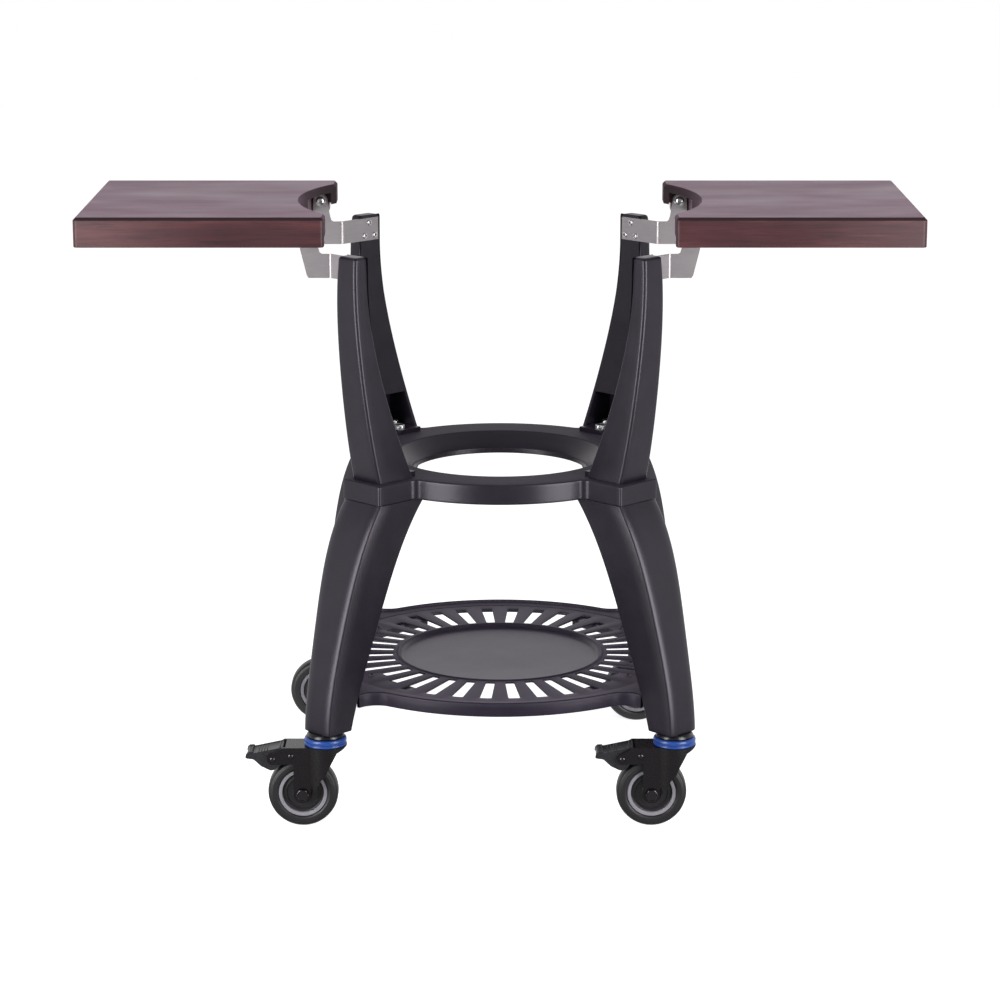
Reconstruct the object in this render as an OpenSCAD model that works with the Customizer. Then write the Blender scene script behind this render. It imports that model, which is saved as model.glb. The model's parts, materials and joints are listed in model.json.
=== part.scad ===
// Rolling stand for a ceramic kamado grill, with two drop-down side boards.
// Millimetres, Z up. The origin is on the floor under the middle of the stand.
// X runs along the side boards, the front is towards -Y.

/* [Cradle ring] */
// Height of the flat top of the ring above the floor
ring_top_z = 488; // [440:1:540]
// Depth of the ring's outer skirt
ring_depth = 29; // [24:0.5:40]
// Outer radius of the ring between its lobes
ring_r = 211; // [195:0.5:225]
// Radius where the flat top meets the sloping seat
seat_r = 155; // [140:0.5:170]
// Radius of the hole under the grill
bore_r = 128; // [100:0.5:138]
// Height of the straight wall at the hole
bore_land = 8; // [5:0.5:14]
// Thickness of the ring's top plate and seat
ring_plate = 8; // [5:0.5:12]
// Thickness of the ring's outer skirt
ring_skirt = 6; // [4:0.5:10]
// Distance from the stand's axis to the outer face of each lobe
lobe_reach = 278; // [262:0.5:300]
// Width of each lobe across the diagonal
lobe_w = 76; // [66:0.5:90]
// Radius of the concave blend between ring and lobe
lobe_blend = 12; // [4:0.5:24]
// Radius on the outer corners of a lobe
lobe_corner = 3; // [1:0.5:8]

/* [Upper posts] */
// Height of the posts above the ring
post_h = 324; // [280:1:360]
// How far the post's outer face stands inside the lobe's face at its base
post_inset = 10; // [2:0.5:20]
// Outer face beyond the lobe's face, low on the post
post_out_low = 6.7; // [0:0.1:14]
// Outer face beyond the lobe's face at half height
post_out_mid = 18; // [8:0.1:26]
// Outer face beyond the lobe's face, high on the post
post_out_high = 24.6; // [16:0.1:32]
// Outer face beyond the lobe's face at the top
post_out_top = 22.5; // [16:0.1:30]
// Thickness of the post at its bracket seat
post_top_depth = 21.5; // [18:0.1:30]
// How far the inner face reaches past the bracket seat at the base
post_in_base = 76; // [60:0.5:84]
// The same, low on the post
post_in_low = 48; // [38:0.5:54]
// The same, half way to the bracket seat
post_in_mid = 24.5; // [18:0.5:30]
// The same, high on the post
post_in_high = 7.5; // [4:0.5:12]
// Width of the post at its base
post_w_base = 56.4; // [48:0.2:62]
// Width of the post, low
post_w_low = 51.6; // [44:0.2:58]
// Width of the post at half height
post_w_mid = 47; // [40:0.2:54]
// Width of the post, high
post_w_high = 42.2; // [36:0.2:48]
// Width of the post at the top
post_w_top = 36.6; // [34:0.2:44]
// Height of the open pocket above the ring
pocket_h = 57; // [45:1:70]
// Thickness of the foot plate under the pocket
pocket_floor = 7; // [5:0.5:12]
// How far the foot plate reaches in front of the post
foot_lip = 11; // [10:0.5:16]
// Side walls of the pocket
pocket_wall = 5.5; // [4:0.5:8]
// Wall left between the pocket and the outer face at the base
pocket_back = 10; // [6:0.5:16]

/* [Legs] */
// Outer face beyond the lobe's face at the foot
leg_out_foot = 92.3; // [80:0.5:104]
// Outer face beyond the lobe's face, low on the leg
leg_out_low = 82; // [70:0.5:94]
// Outer face beyond the lobe's face at half height
leg_out_mid = 63.8; // [54:0.5:74]
// Outer face beyond the lobe's face, high on the leg
leg_out_high = 40.8; // [32:0.5:50]
// Depth of the leg from outer to inner edge at the foot
leg_d_foot = 45.8; // [40:0.5:56]
// Depth of the leg, low
leg_d_low = 61.5; // [52:0.5:70]
// Depth of the leg at half height
leg_d_mid = 71.3; // [60:0.5:80]
// Depth of the leg, high
leg_d_high = 78.8; // [68:0.5:86]
// Depth of the leg at the top
leg_d_top = 88; // [78:0.5:98]
// Width of the leg at the foot
leg_w_foot = 54; // [48:0.5:60]
// Width of the leg, low
leg_w_low = 55.6; // [50:0.5:62]
// Width of the leg at half height
leg_w_mid = 63; // [56:0.5:70]
// Width of the leg, high
leg_w_high = 72.4; // [64:0.5:78]
// Wall thickness of the cast leg
leg_wall = 6; // [4:0.5:8]
// Thickness of the closed block at the foot
foot_block = 34; // [28:1:44]
// Thickness of the leg's top plate
leg_cap = 14; // [10:0.5:20]

/* [Lower shelf] */
// Height of the shelf's slotted top above the underside of the legs
shelf_rise = 46.3; // [40:0.1:90]
// Outer radius of the shelf
shelf_r = 279; // [262:0.5:290]
// Thickness of the shelf plate
shelf_t = 4; // [3:0.5:6]
// Height of the raised rim above the plate
rim_h = 3.7; // [2:0.1:8]
// Width of the raised rim
rim_w = 6; // [4:0.5:10]
// Depth of the shelf's skirt, rim included
shelf_skirt = 20; // [16:0.5:28]
// Width of the arms that reach the legs
arm_w = 52; // [44:0.5:60]
// Radius of the concave blend between shelf and arm
arm_blend = 30; // [12:1:40]
// Gap between the end of an arm and the leg
arm_gap = 0.3; // [0.2:0.1:1]
// Radius of the recess in the middle
recess_r = 150; // [120:0.5:154]
// Depth of the recess
recess_depth = 6; // [3:0.5:10]
// Width of the recess's sloping wall
recess_slope = 4; // [2:0.5:8]
// Radius of the shallow step outside the slots
step_r = 256; // [248:0.5:262]
// Height of the shallow step
step_h = 0.8; // [0.4:0.1:1.5]
// Inner end of the slots
slot_in = 160; // [157:0.5:175]
// Outer end of the slots
slot_out = 238; // [200:0.5:244]
// Width of a slot at its inner end
slot_w_in = 13; // [8:0.5:16]
// Width of a slot at its outer end
slot_w_out = 17; // [10:0.5:20]
// Number of slots, a multiple of four
slot_n = 36; // [24:4:40]
// Outer end of the slot on each diagonal
slot_mid_out = 221; // [190:0.5:226]
// Outer end of the slot beside the shelf screw
slot_screw_out = 207; // [185:0.5:212]
// Thickness of the tongue under the shelf
tongue_t = 10; // [6:0.5:14]
// Width of the tongue where it holds the screw
tongue_w = 104; // [96:1:112]
// Width of the tongue inside the arm
tongue_neck = 34; // [24:1:38]
// Inner end of the tongue
tongue_in = 211; // [200:1:214]
// Where the tongue starts to narrow
tongue_bend = 236; // [228:1:240]

/* [Side boards] */
// Length of a board from its inner edge to its outer edge
board_l = 348; // [300:1:400]
// Depth of a board from front to back
board_d = 394; // [372:1:440]
// Thickness of a board
board_t = 42; // [38:0.5:50]
// How far the curved notch round the grill reaches past the inner edge
notch_depth = 43.5; // [36:0.5:50]
// Bevel along the top edges
board_bevel = 4; // [1:0.5:6]
// Radius of the boards' vertical corners
board_corner = 6; // [2:0.5:12]
// Distance from a board's inner edge to its hinge axis
hinge_in = 24.1; // [22:0.1:28]
// Depth of the hinge axis below the top face
hinge_drop = 25.3; // [24:0.1:28]
// Room left round the bracket in the board's groove
groove_gap = 2.5; // [1.5:0.1:4]
// Room beside the bracket plate in the groove
groove_side = 1; // [0.6:0.1:2]
// Depth of the rebate under the ears
rebate_h = 13; // [6:0.5:14]
// Wood left at the front face beside the rebate
rebate_stop = 15; // [10:0.5:24]
// Radius of the threaded insert in the wood
insert_r = 6; // [5.5:0.1:7]
// Length of the threaded insert
insert_l = 20; // [14:0.5:26]

/* [Board brackets] */
// Thickness of the bracket steel
bracket_t = 3; // [2.5:0.5:4]
// Height of the arm bolted to the post
arm_h = 34; // [30:0.5:40]
// Distance of the arm's upper edge below the top of the post
arm_drop = 4; // [2:0.5:12]
// Height of the pivot above the arm's upper edge
pivot_rise = 31.5; // [28:0.1:40]
// Length of the arm past the middle of the post
arm_tail = 15; // [12:0.5:16.5]
// Distance of the plate's inner face from the board's front or back edge
plate_in = 43; // [38:0.5:50]
// Length of the plate from the bend to the hinge axis
plate_run = 29.4; // [27:0.1:36]
// Inner radius of the bend
bend_r = 4; // [2:0.5:8]
// Radius of the rounded top at the pivot
lobe_r = 10.5; // [9.6:0.1:11.4]
// Half width of the plate at its shoulder
shoulder_out = 11.5; // [10.6:0.1:13]
// Height of the shoulder below the pivot
shoulder_drop = 24.5; // [20:0.5:28]
// How far the plate's inner edge slopes out below the pivot
neck_slope = 3.5; // [1:0.5:6]
// How much wider the plate grows where it meets the arm
neck_foot = 5.5; // [4:0.5:9]
// Half width of the plate at its lower end
plate_out = 2.5; // [0:0.5:6]
// Radius of the pivot bolt's shank
pivot_r = 4; // [3:0.1:5]
// Radius of the pivot bolt's round head
pivot_head_r = 7; // [6:0.1:7.6]
// Height of the pivot bolt's round head
pivot_head_h = 4.5; // [3:0.1:6]
// Radius across the corners of the pivot bolt's socket
pivot_key = 3; // [2.2:0.1:3.6]
// Radius of the washer under the head
washer_r = 8.6; // [8:0.1:9.4]
// Thickness of the washer
washer_t = 1.6; // [1:0.1:2]

/* [Screws] */
// Radius of the post and leg bolts
bolt_r = 5; // [4:0.5:6]
// Height of a bolt head
bolt_head_h = 6.4; // [4:0.1:8]
// Width across the flats of a bolt head
bolt_af = 16; // [14:0.5:18]
// Depth of a bolt in the ring
bolt_bite = 18; // [12:0.5:19]
// Distance of the inner post bolt behind the post's inner face
bolt_a_in = 2; // [0:0.5:9]
// Sideways place of the inner post bolt
bolt_a_s = 12; // [8:0.5:13]
// Distance of the outer post bolt behind the post's inner face
bolt_b_in = 33; // [27:0.5:37]
// Sideways place of the outer post bolt
bolt_b_s = 4; // [0:0.5:8]
// Distance of the leg bolts behind the lobe's outer face
leg_bolt_in = 31.5; // [24:0.5:36]
// Sideways place of the leg bolts
leg_bolt_s = 18; // [14:0.5:20]
// Height of the upper bracket screw above the arm's middle
screw_up = 10; // [6:0.5:11.5]
// Height of the lower bracket screws below the arm's middle
screw_down = 9.5; // [6:0.5:11.5]
// Sideways place of the upper bracket screw
screw_up_s = 3; // [0:0.5:5]
// Sideways place of the lower bracket screw beside the arm's end
screw_end_s = 8; // [6:0.5:9.5]
// Sideways place of the lower bracket screw towards the bend
screw_bend_s = 12.5; // [9:0.5:13]
// Radius of the small screws' shanks
screw_r = 2.5; // [2:0.1:3]
// Radius of the small screws' heads
screw_head_r = 4.4; // [4:0.1:5]
// Height of the small screws' heads
screw_head_h = 2.6; // [2:0.1:3.5]
// Radius across the corners of the small screws' sockets
screw_key = 2; // [1.5:0.1:2.2]
// Depth of the small screws' sockets
screw_key_h = 1.8; // [1:0.1:1.9]
// Length of a bracket screw under its head
bracket_screw_l = 15; // [10:0.5:17]
// Length of a shelf screw under its head
shelf_screw_l = 12; // [9:0.5:13.5]
// Distance of the shelf screw from the stand's axis along the diagonal
shelf_screw_x = 221; // [218:0.5:226]
// Sideways place of the shelf screw
shelf_screw_y = 43; // [36:0.5:45]

/* [Casters] */
// Distance of a caster's stem from the outer face of the leg's foot
stem_inset = 19.2; // [18:0.1:24]
// Outer diameter of a wheel
wheel_d = 100; // [96:1:104]
// Width of a tyre
tyre_w = 32; // [28:0.5:34]
// Outer radius of the grey rim
rim_out = 34.7; // [33:0.1:38]
// Inner radius of the grey rim
rim_in = 29.4; // [26:0.1:31]
// Width of the grey rim
rim_ring_w = 27; // [24:0.5:30]
// Width of the black disc inside the rim
hub_w = 20; // [14:0.5:23]
// Radius of the boss round the axle
boss_r = 10; // [8:0.5:12]
// Distance of the axle behind the swivel axis
trail = 32.3; // [30:0.1:35]
// Height of the fork's top plate above the axle
fork_rise = 69.5; // [68:0.5:74]
// Thickness of the fork steel
fork_t = 3.5; // [2.5:0.5:5]
// Gap between a wheel's boss and the fork
fork_gap = 0.4; // [0.3:0.1:1]
// Room between tyre and fork
tyre_gap = 3; // [2:0.5:5]
// Radius of the fork's round front
crown_r = 30.5; // [30:0.1:32]
// Radius of the fork's lower ends
fork_end_r = 12.7; // [12:0.1:14]
// Radius of the axle bolt
axle_r = 5; // [4:0.1:6]
// Width across the flats of the axle bolt's head and nut
axle_af = 16.6; // [14:0.1:18]
// Height of the axle bolt's head and nut
axle_head_h = 6; // [4:0.5:8]
// Height of the cap between the seal ring and the leg
cap_h = 6; // [4:0.5:14]
// Gap between the seal ring and the cap
cap_gap = 1; // [0.5:0.1:2]
// Outer radius of the blue seal ring
seal_r = 30.3; // [29:0.1:31]
// Inner radius of the blue seal ring
seal_in = 25; // [24.5:0.1:26]
// Height of the blue seal ring
seal_h = 11.5; // [9:0.5:12.5]
// Radius of the stem's swivel cup
cup_r = 24; // [20:0.5:24]
// Radius of the dust cap over the cup
cap_r = 27; // [25:0.5:28]
// Radius of the stem in the leg
stem_r = 6; // [5:0.5:7]
// Length of the stem in the leg
stem_l = 26; // [18:0.5:27]
// Radius of the sleeve round the stem
sleeve_r = 9; // [8:0.5:10]
// Radius of the king pin through the fork
king_r = 7; // [6:0.5:8]
// Radius of the king pin's lower head
king_head_r = 10; // [9:0.5:11]
// Height of the king pin's lower head
king_head_h = 4; // [3:0.5:4.5]

/* [Brake pedals] */
// Distance of the pedal's pin behind the swivel axis
pedal_x = 74.6; // [73:0.1:77]
// Height of the pedal's pin above the axle
pedal_z = 52.4; // [51:0.1:54]
// Radius of the pedal's pin
pedal_pin_r = 2.5; // [2:0.1:3]
// Distance of the stop pin behind the swivel axis
stop_x = 48.7; // [47:0.1:50]
// Height of the stop pin above the axle
stop_z = 57; // [56:0.1:59]
// Width of the pedal
pedal_w = 36; // [30:0.5:37]
// Height of the pedal's top above its pin, at the fork
pedal_top = 16; // [14:0.5:17]
// Distance from the pin to the tip
pedal_tip = 36.5; // [30:0.5:44]
// Droop of the pedal's top in degrees
pedal_droop = 12; // [6:0.5:16]
// Radius of the lug round the pedal's pin
lug_r = 8; // [7:0.5:9]

/* [Fits] */
// Radial clearance of pins and bolts in their holes
fit = 0.05; // [0.02:0.01:0.1]
// Axial clearance between turning faces
slack = 0.3; // [0.2:0.1:0.5]

/* [Hidden] */
$fn = 96;
steps = 24;
eps = 0.01;

// Heights and radii that follow from the sizes above
ring_low_z = ring_top_z - ring_depth;
post_top_z = ring_top_z + post_h;
seat_plane = lobe_reach + post_out_top - post_top_depth;
arm_top_z = post_top_z - arm_drop;
arm_z = arm_top_z - arm_h;
seat_low_z = arm_z - 2 * arm_drop;
axle_z = wheel_d / 2;
fork_top_z = axle_z + fork_rise;
foot_z = fork_top_z + seal_h + cap_gap + cap_h;
leg_h = ring_low_z - foot_z;
plate_y = board_d / 2 - plate_in;
plate_y1 = plate_y + bracket_t;
bend_x = seat_plane * sqrt(2) - plate_y1 + bend_r * (sqrt(2) - 1);
bend_y = plate_y1 + bend_r;
hinge_x = bend_x + plate_run;
hinge_z = arm_top_z + pivot_rise;
board_top_z = hinge_z + hinge_drop;
board_x0 = hinge_x - hinge_in;
board_x1 = board_x0 + board_l;
board_low_z = board_top_z - board_t;
notch_r = board_x0 + notch_depth;
stem_rad = lobe_reach + leg_out_foot - stem_inset;
stem_xy = stem_rad / sqrt(2);
fork_in_y = tyre_w / 2 + tyre_gap;
fork_out_y = fork_in_y + fork_t;
shelf_z = foot_z + shelf_rise;
shelf_low_z = shelf_z + rim_h - shelf_skirt;
tongue_z = shelf_z - shelf_t - tongue_t;

// Smooth curve through five evenly spaced stations, with t from 0 to 1
function curve5(v, t) = let (u = 4 * t)
    v[0] * (u - 1) * (u - 2) * (u - 3) * (u - 4) / 24
    - v[1] * u * (u - 2) * (u - 3) * (u - 4) / 6
    + v[2] * u * (u - 1) * (u - 3) * (u - 4) / 4
    - v[3] * u * (u - 1) * (u - 2) * (u - 4) / 6
    + v[4] * u * (u - 1) * (u - 2) * (u - 3) / 24;

function post_out(t) = lobe_reach
    + curve5([-post_inset, post_out_low, post_out_mid, post_out_high, post_out_top], t);
function post_in(t) = seat_plane
    - curve5([post_in_base, post_in_low, post_in_mid, post_in_high, 0], t);
function post_half(t) = curve5([post_w_base, post_w_low, post_w_mid, post_w_high, post_w_top], t) / 2;
function leg_out(t) = lobe_reach
    + curve5([leg_out_foot, leg_out_low, leg_out_mid, leg_out_high, 0], t);
function leg_deep(t) = curve5([leg_d_foot, leg_d_low, leg_d_mid, leg_d_high, leg_d_top], t);
function leg_half(t) = curve5([leg_w_foot, leg_w_low, leg_w_mid, leg_w_high, lobe_w], t) / 2;
function leg_t(z) = (z - foot_z) / leg_h;

// One quarter of the stand, mirrored from the back right one
module quarter(sx, sy) {
    mirror([sx < 0 ? 1 : 0, 0, 0]) mirror([0, sy < 0 ? 1 : 0, 0]) children();
}

// The same with X turned to point along the diagonal
module corner(sx, sy) {
    quarter(sx, sy) rotate([0, 0, 45]) children();
}

module four_corners() {
    for (sx = [-1, 1], sy = [-1, 1]) corner(sx, sy) children();
}

// Prism standing on a side view drawn as [distance, height]
module side_prism(points, width) {
    rotate([90, 0, 0]) linear_extrude(height = width, center = true) polygon(points);
}

// Prism from a front view drawn as [sideways, height]
module front_prism(points, reach) {
    rotate([90, 0, 90]) linear_extrude(height = reach) polygon(points);
}

// Round plate with four arms on its diagonals and concave blends
module lobed_plan(r, half, reach, blend, corner_r) {
    side = half + blend;
    mid = sqrt((r + blend) * (r + blend) - side * side);
    touch = r / (r + blend);
    circle(r = r, $fn = 180);
    for (a = [45 : 90 : 315]) rotate([0, 0, a]) {
        difference() {
            translate([0, -half]) square([reach, 2 * half]);
            for (s = [-1, 1]) translate([reach - corner_r, s * (half - corner_r)]) difference() {
                translate([0, s > 0 ? 0 : -corner_r - 1]) square([corner_r + 1, corner_r + 1]);
                circle(r = corner_r, $fn = 32);
            }
        }
        for (s = [-1, 1]) difference() {
            polygon([[r * 0.8, 0], [mid * touch, s * side * touch], [mid, s * side], [mid, 0]]);
            translate([mid, s * side]) circle(r = blend, $fn = 64);
        }
    }
}

// The section of the ring between its lobes
module ring_section() {
    polygon([
        [bore_r, ring_low_z], [bore_r + ring_plate, ring_low_z],
        [bore_r + ring_plate, ring_low_z + bore_land],
        [seat_r + ring_plate / 2, ring_top_z - ring_plate],
        [ring_r - ring_skirt, ring_top_z - ring_plate],
        [ring_r - ring_skirt, ring_low_z], [ring_r, ring_low_z], [ring_r, ring_top_z],
        [seat_r, ring_top_z], [bore_r, ring_low_z + bore_land]
    ]);
}

module bolt_places() {
    for (p = [[bolt_a_in, -bolt_a_s], [bolt_b_in, bolt_b_s]])
        translate([post_in(0) + p[0], p[1], 0]) children();
}

module leg_bolt_places() {
    for (s = [-1, 1]) translate([lobe_reach - leg_bolt_in, s * leg_bolt_s, 0]) children();
}

module cradle_ring() {
    boss_x = post_in(0) + bolt_a_in - 2 * bolt_r;
    boss_half = post_half(0) - pocket_wall;
    color([0.17, 0.16, 0.18]) difference() {
        union() {
            rotate_extrude($fn = 180) ring_section();
            difference() {
                translate([0, 0, ring_low_z]) linear_extrude(height = ring_depth)
                    lobed_plan(ring_r, lobe_w / 2, lobe_reach, lobe_blend, lobe_corner);
                translate([0, 0, ring_low_z - 1])
                    cylinder(r = ring_r - ring_skirt, h = ring_depth + 2, $fn = 180);
            }
            // Boss inside the skirt for the inner post bolt
            four_corners() translate([boss_x, -boss_half, ring_low_z])
                cube([lobe_reach - leg_bolt_in - boss_x, 2 * boss_half, ring_depth]);
        }
        four_corners() {
            translate([0, 0, ring_top_z - bolt_bite - 1]) bolt_places()
                cylinder(r = bolt_r + fit, h = bolt_bite + 2);
            translate([0, 0, ring_low_z - 1]) leg_bolt_places()
                cylinder(r = bolt_r + fit, h = bolt_bite + 2);
        }
    }
}

// Upper post: curved and tapered both ways, with an open pocket at its foot
module post() {
    seat_h = seat_low_z - ring_top_z;
    outer = [for (i = [0 : steps]) let (t = i / steps) [post_out(t), ring_top_z + post_h * t]];
    inner = [for (i = [steps : -1 : 0]) let (t = i / steps) [post_in(t), ring_top_z + seat_h * t]];
    right = [for (i = [0 : steps]) let (t = i / steps) [post_half(t), ring_top_z + post_h * t]];
    left = [for (i = [steps : -1 : 0]) [-right[i][0], right[i][1]]];
    cut_half = post_half(pocket_h / post_h) - pocket_wall;
    cut_back = post_out(0) - pocket_back;
    color([0.17, 0.16, 0.18]) difference() {
        union() {
            intersection() {
                side_prism(concat(outer, [[seat_plane, post_top_z]], inner), 2 * lobe_w);
                front_prism(concat(right, left), 2 * lobe_reach);
            }
            translate([post_in(0) - foot_lip, -cut_half, ring_top_z])
                cube([foot_lip + 5, 2 * cut_half, pocket_floor]);
        }
        translate([0, -cut_half, ring_top_z + pocket_floor])
            cube([cut_back, 2 * cut_half, pocket_h - pocket_floor]);
        translate([0, 0, ring_top_z - 1]) bolt_places()
            cylinder(r = bolt_r + fit, h = pocket_floor + 2);
        bracket_screw_places() cylinder(r = screw_r + fit, h = 2 * bracket_screw_l, center = true);
    }
}

// Places of the three screws of a bracket, with Z pointing towards the post
module bracket_screw_places() {
    mid_z = arm_z + arm_h / 2;
    for (p = [[-screw_up_s, screw_up], [-screw_bend_s, -screw_down], [screw_end_s, -screw_down]])
        translate([seat_plane, p[0], mid_z + p[1]]) rotate([0, 90, 0]) children();
}

// Leg: a cast channel, open towards the middle, closed at foot and top
module leg() {
    side = [for (i = [0 : steps]) let (t = i / steps) [leg_out(t), foot_z + leg_h * t]];
    back = [for (i = [steps : -1 : 0]) let (t = i / steps)
        [leg_out(t) - leg_deep(t), foot_z + leg_h * t]];
    hollow = [for (i = [0 : steps]) let (t = i / steps) [leg_out(t) - leg_wall, foot_z + leg_h * t]];
    right = [for (i = [0 : steps]) let (t = i / steps) [leg_half(t), foot_z + leg_h * t]];
    left = [for (i = [steps : -1 : 0]) [-right[i][0], right[i][1]]];
    core_r = [for (i = [0 : steps]) [right[i][0] - leg_wall, right[i][1]]];
    core_l = [for (i = [0 : steps]) [left[i][0] + leg_wall, left[i][1]]];
    web_z = tongue_z - 4;
    web_h = tongue_t + 8;
    color([0.17, 0.16, 0.18]) difference() {
        union() {
            intersection() {
                side_prism(concat(side, back), 2 * lobe_w);
                front_prism(concat(right, left), 2 * lobe_reach);
            }
            translate([0, 0, tongue_z]) linear_extrude(height = tongue_t) polygon([
                [tongue_in, -tongue_w / 2], [tongue_bend, -tongue_w / 2],
                [tongue_bend + 32, -tongue_neck / 2], [stem_rad, -tongue_neck / 2],
                [stem_rad, tongue_neck / 2], [tongue_bend + 32, tongue_neck / 2],
                [tongue_bend, tongue_w / 2], [tongue_in, tongue_w / 2]
            ]);
        }
        intersection() {
            side_prism(concat(hollow, [[0, ring_low_z], [0, foot_z]]),
                2 * lobe_w);
            front_prism(concat(core_r, core_l), 2 * lobe_reach);
            union() {
                translate([0, -lobe_w, web_z + web_h])
                    cube([2 * lobe_reach, 2 * lobe_w, ring_low_z - leg_cap - web_z - web_h]);
                if (web_z > foot_z + foot_block) translate([0, -lobe_w, foot_z + foot_block])
                    cube([2 * lobe_reach, 2 * lobe_w, web_z - foot_z - foot_block]);
            }
        }
        translate([stem_rad, 0, foot_z - 1]) cylinder(r = sleeve_r + fit, h = stem_l + 1 + slack);
        translate([0, 0, ring_low_z - leg_cap - 1]) leg_bolt_places()
            cylinder(r = bolt_r + fit, h = leg_cap + 2);
        shelf_screw_place() cylinder(r = screw_r + fit, h = 4 * tongue_t, center = true);
    }
}

module shelf_screw_place() {
    translate([shelf_screw_x, -shelf_screw_y, shelf_z]) children();
}

// Angle of a slot within its quarter, measured from the diagonal
module slot(a, r_out) {
    rotate([0, 0, a]) polygon([
        [slot_in, -slot_w_in / 2], [r_out - 2, -slot_w_out / 2], [r_out, -slot_w_out / 2 + 2],
        [r_out, slot_w_out / 2 - 2], [r_out - 2, slot_w_out / 2], [slot_in, slot_w_in / 2]
    ]);
}

module lower_shelf() {
    arm_end = leg_out(leg_t(shelf_z + rim_h)) - leg_deep(leg_t(shelf_z + rim_h)) - arm_gap;
    pitch = 360 / slot_n;
    per = slot_n / 4;
    plate_z = shelf_z - shelf_t;
    color([0.2, 0.19, 0.21]) difference() {
        translate([0, 0, shelf_low_z]) linear_extrude(height = shelf_skirt)
            lobed_plan(shelf_r, arm_w / 2, arm_end, arm_blend, 0.5);
        translate([0, 0, shelf_low_z - 1]) linear_extrude(height = plate_z - shelf_low_z + 1) {
            lobed_plan(shelf_r - rim_w, arm_w / 2 - rim_w, arm_end + 1, arm_blend + rim_w, 0.5);
        }
        translate([0, 0, shelf_z]) linear_extrude(height = rim_h + 1) {
            lobed_plan(shelf_r - rim_w, arm_w / 2 - rim_w, arm_end + 1, arm_blend + rim_w, 0.5);
        }
        translate([0, 0, shelf_z - step_h]) cylinder(r = step_r, h = rim_h + 1, $fn = 180);
        translate([0, 0, shelf_z - recess_depth]) cylinder(r1 = recess_r - recess_slope,
            r2 = recess_r, h = recess_depth, $fn = 180);
        for (q = [0 : 3]) translate([0, 0, plate_z - 1]) linear_extrude(height = shelf_t + 2)
            for (i = [0 : per - 1]) {
                a = (i - (per - 1) / 2) * pitch;
                turned = (q % 2 == 0) ? a : -a;
                beside = abs(turned + pitch) < 0.1;
                r_out = (abs(a) < 0.1) ? slot_mid_out : (beside ? slot_screw_out : slot_out);
                slot(45 + 90 * q + a, r_out);
            }
        four_corners() shelf_screw_place() cylinder(r = screw_r + fit, h = 40, center = true);
    }
    // Dish under the recess
    color([0.2, 0.19, 0.21]) difference() {
        translate([0, 0, shelf_z - recess_depth - shelf_t])
            cylinder(r = recess_r + 4, h = recess_depth + shelf_t - shelf_t / 2, $fn = 180);
        translate([0, 0, shelf_z - recess_depth]) cylinder(r1 = recess_r - recess_slope,
            r2 = recess_r, h = recess_depth, $fn = 180);
    }
}

// Bracket: an arm on the post's inner face, a bend and a plate up to the pivot.
// The arm's faces are lines x + y = k. The bend's centre is on the side of the post.
module bracket_blank(z, h) {
    far = hinge_x + 2 * lobe_r;
    r_in = seat_plane - bracket_t;
    bend_out = bend_r + bracket_t;
    cx = bend_x;
    cy = bend_y;
    translate([0, 0, z]) linear_extrude(height = h) polygon([
        [(r_in - arm_tail) / sqrt(2), (r_in + arm_tail) / sqrt(2)],
        [(seat_plane - arm_tail) / sqrt(2), (seat_plane + arm_tail) / sqrt(2)],
        [cx - bend_r / sqrt(2), cy - bend_r / sqrt(2)],
        [cx - bend_out / sqrt(2), cy - bend_out / sqrt(2)]
    ]);
    translate([cx, plate_y, z]) cube([far - cx, bracket_t, h]);
    intersection() {
        translate([0, 0, z]) linear_extrude(height = h)
            polygon([[cx, cy], [cx, cy - 2 * bend_out], [cx - bend_out * sqrt(2), cy - bend_out * sqrt(2)]]);
        translate([cx, cy, z]) difference() {
            cylinder(r = bend_out, h = h, $fn = 64);
            translate([0, 0, -1]) cylinder(r = bend_r, h = h + 2, $fn = 64);
        }
    }
}

module circle_at(x, y, r) {
    translate([x, y]) circle(r = r, $fn = 64);
}

module bracket() {
    inner = hinge_x - lobe_r;
    outer = hinge_x + lobe_r;
    shoulder_z = hinge_z - shoulder_drop;
    color([0.62, 0.6, 0.62]) difference() {
        intersection() {
            bracket_blank(arm_z - 1, arm_h + 2 * shoulder_drop);
            union() {
                rotate([90, 0, 0]) linear_extrude(height = 2 * board_d, center = true) polygon([
                    [0, arm_z], [hinge_x, arm_z], [hinge_x + plate_out, arm_z + 4],
                    [hinge_x + shoulder_out, shoulder_z], [outer - 0.1, hinge_z], [inner + 0.1, hinge_z],
                    [inner - neck_slope, arm_top_z + 3 * bracket_t], [inner - neck_foot, arm_top_z + 2],
                    [inner - neck_foot - bracket_t, arm_top_z], [0, arm_top_z]
                ]);
                translate([hinge_x, 0, hinge_z]) rotate([90, 0, 0])
                    cylinder(r = lobe_r, h = 2 * board_d, center = true, $fn = 96);
            }
        }
        translate([hinge_x, 0, hinge_z]) rotate([-90, 0, 0]) cylinder(r = pivot_r + fit, h = board_d);
        rotate([0, 0, 45]) bracket_screw_places()
            cylinder(r = screw_r + fit, h = 4 * bracket_t, center = true);
    }
}

// Hexagon-headed bolt with its head's seat at Z = 0 and its shank going down
module hex_bolt(length) {
    cylinder(r = bolt_af / sqrt(3), h = bolt_head_h, $fn = 6);
    translate([0, 0, -length]) cylinder(r = bolt_r, h = length + eps);
}

module post_bolts() {
    color([0.78, 0.78, 0.78]) four_corners() translate([0, 0, ring_top_z + pocket_floor])
        bolt_places() hex_bolt(pocket_floor + bolt_bite);
}

module leg_bolts() {
    color([0.5, 0.5, 0.5]) four_corners() translate([0, 0, ring_low_z - leg_cap])
        leg_bolt_places() mirror([0, 0, 1]) hex_bolt(leg_cap + bolt_bite);
}

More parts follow.
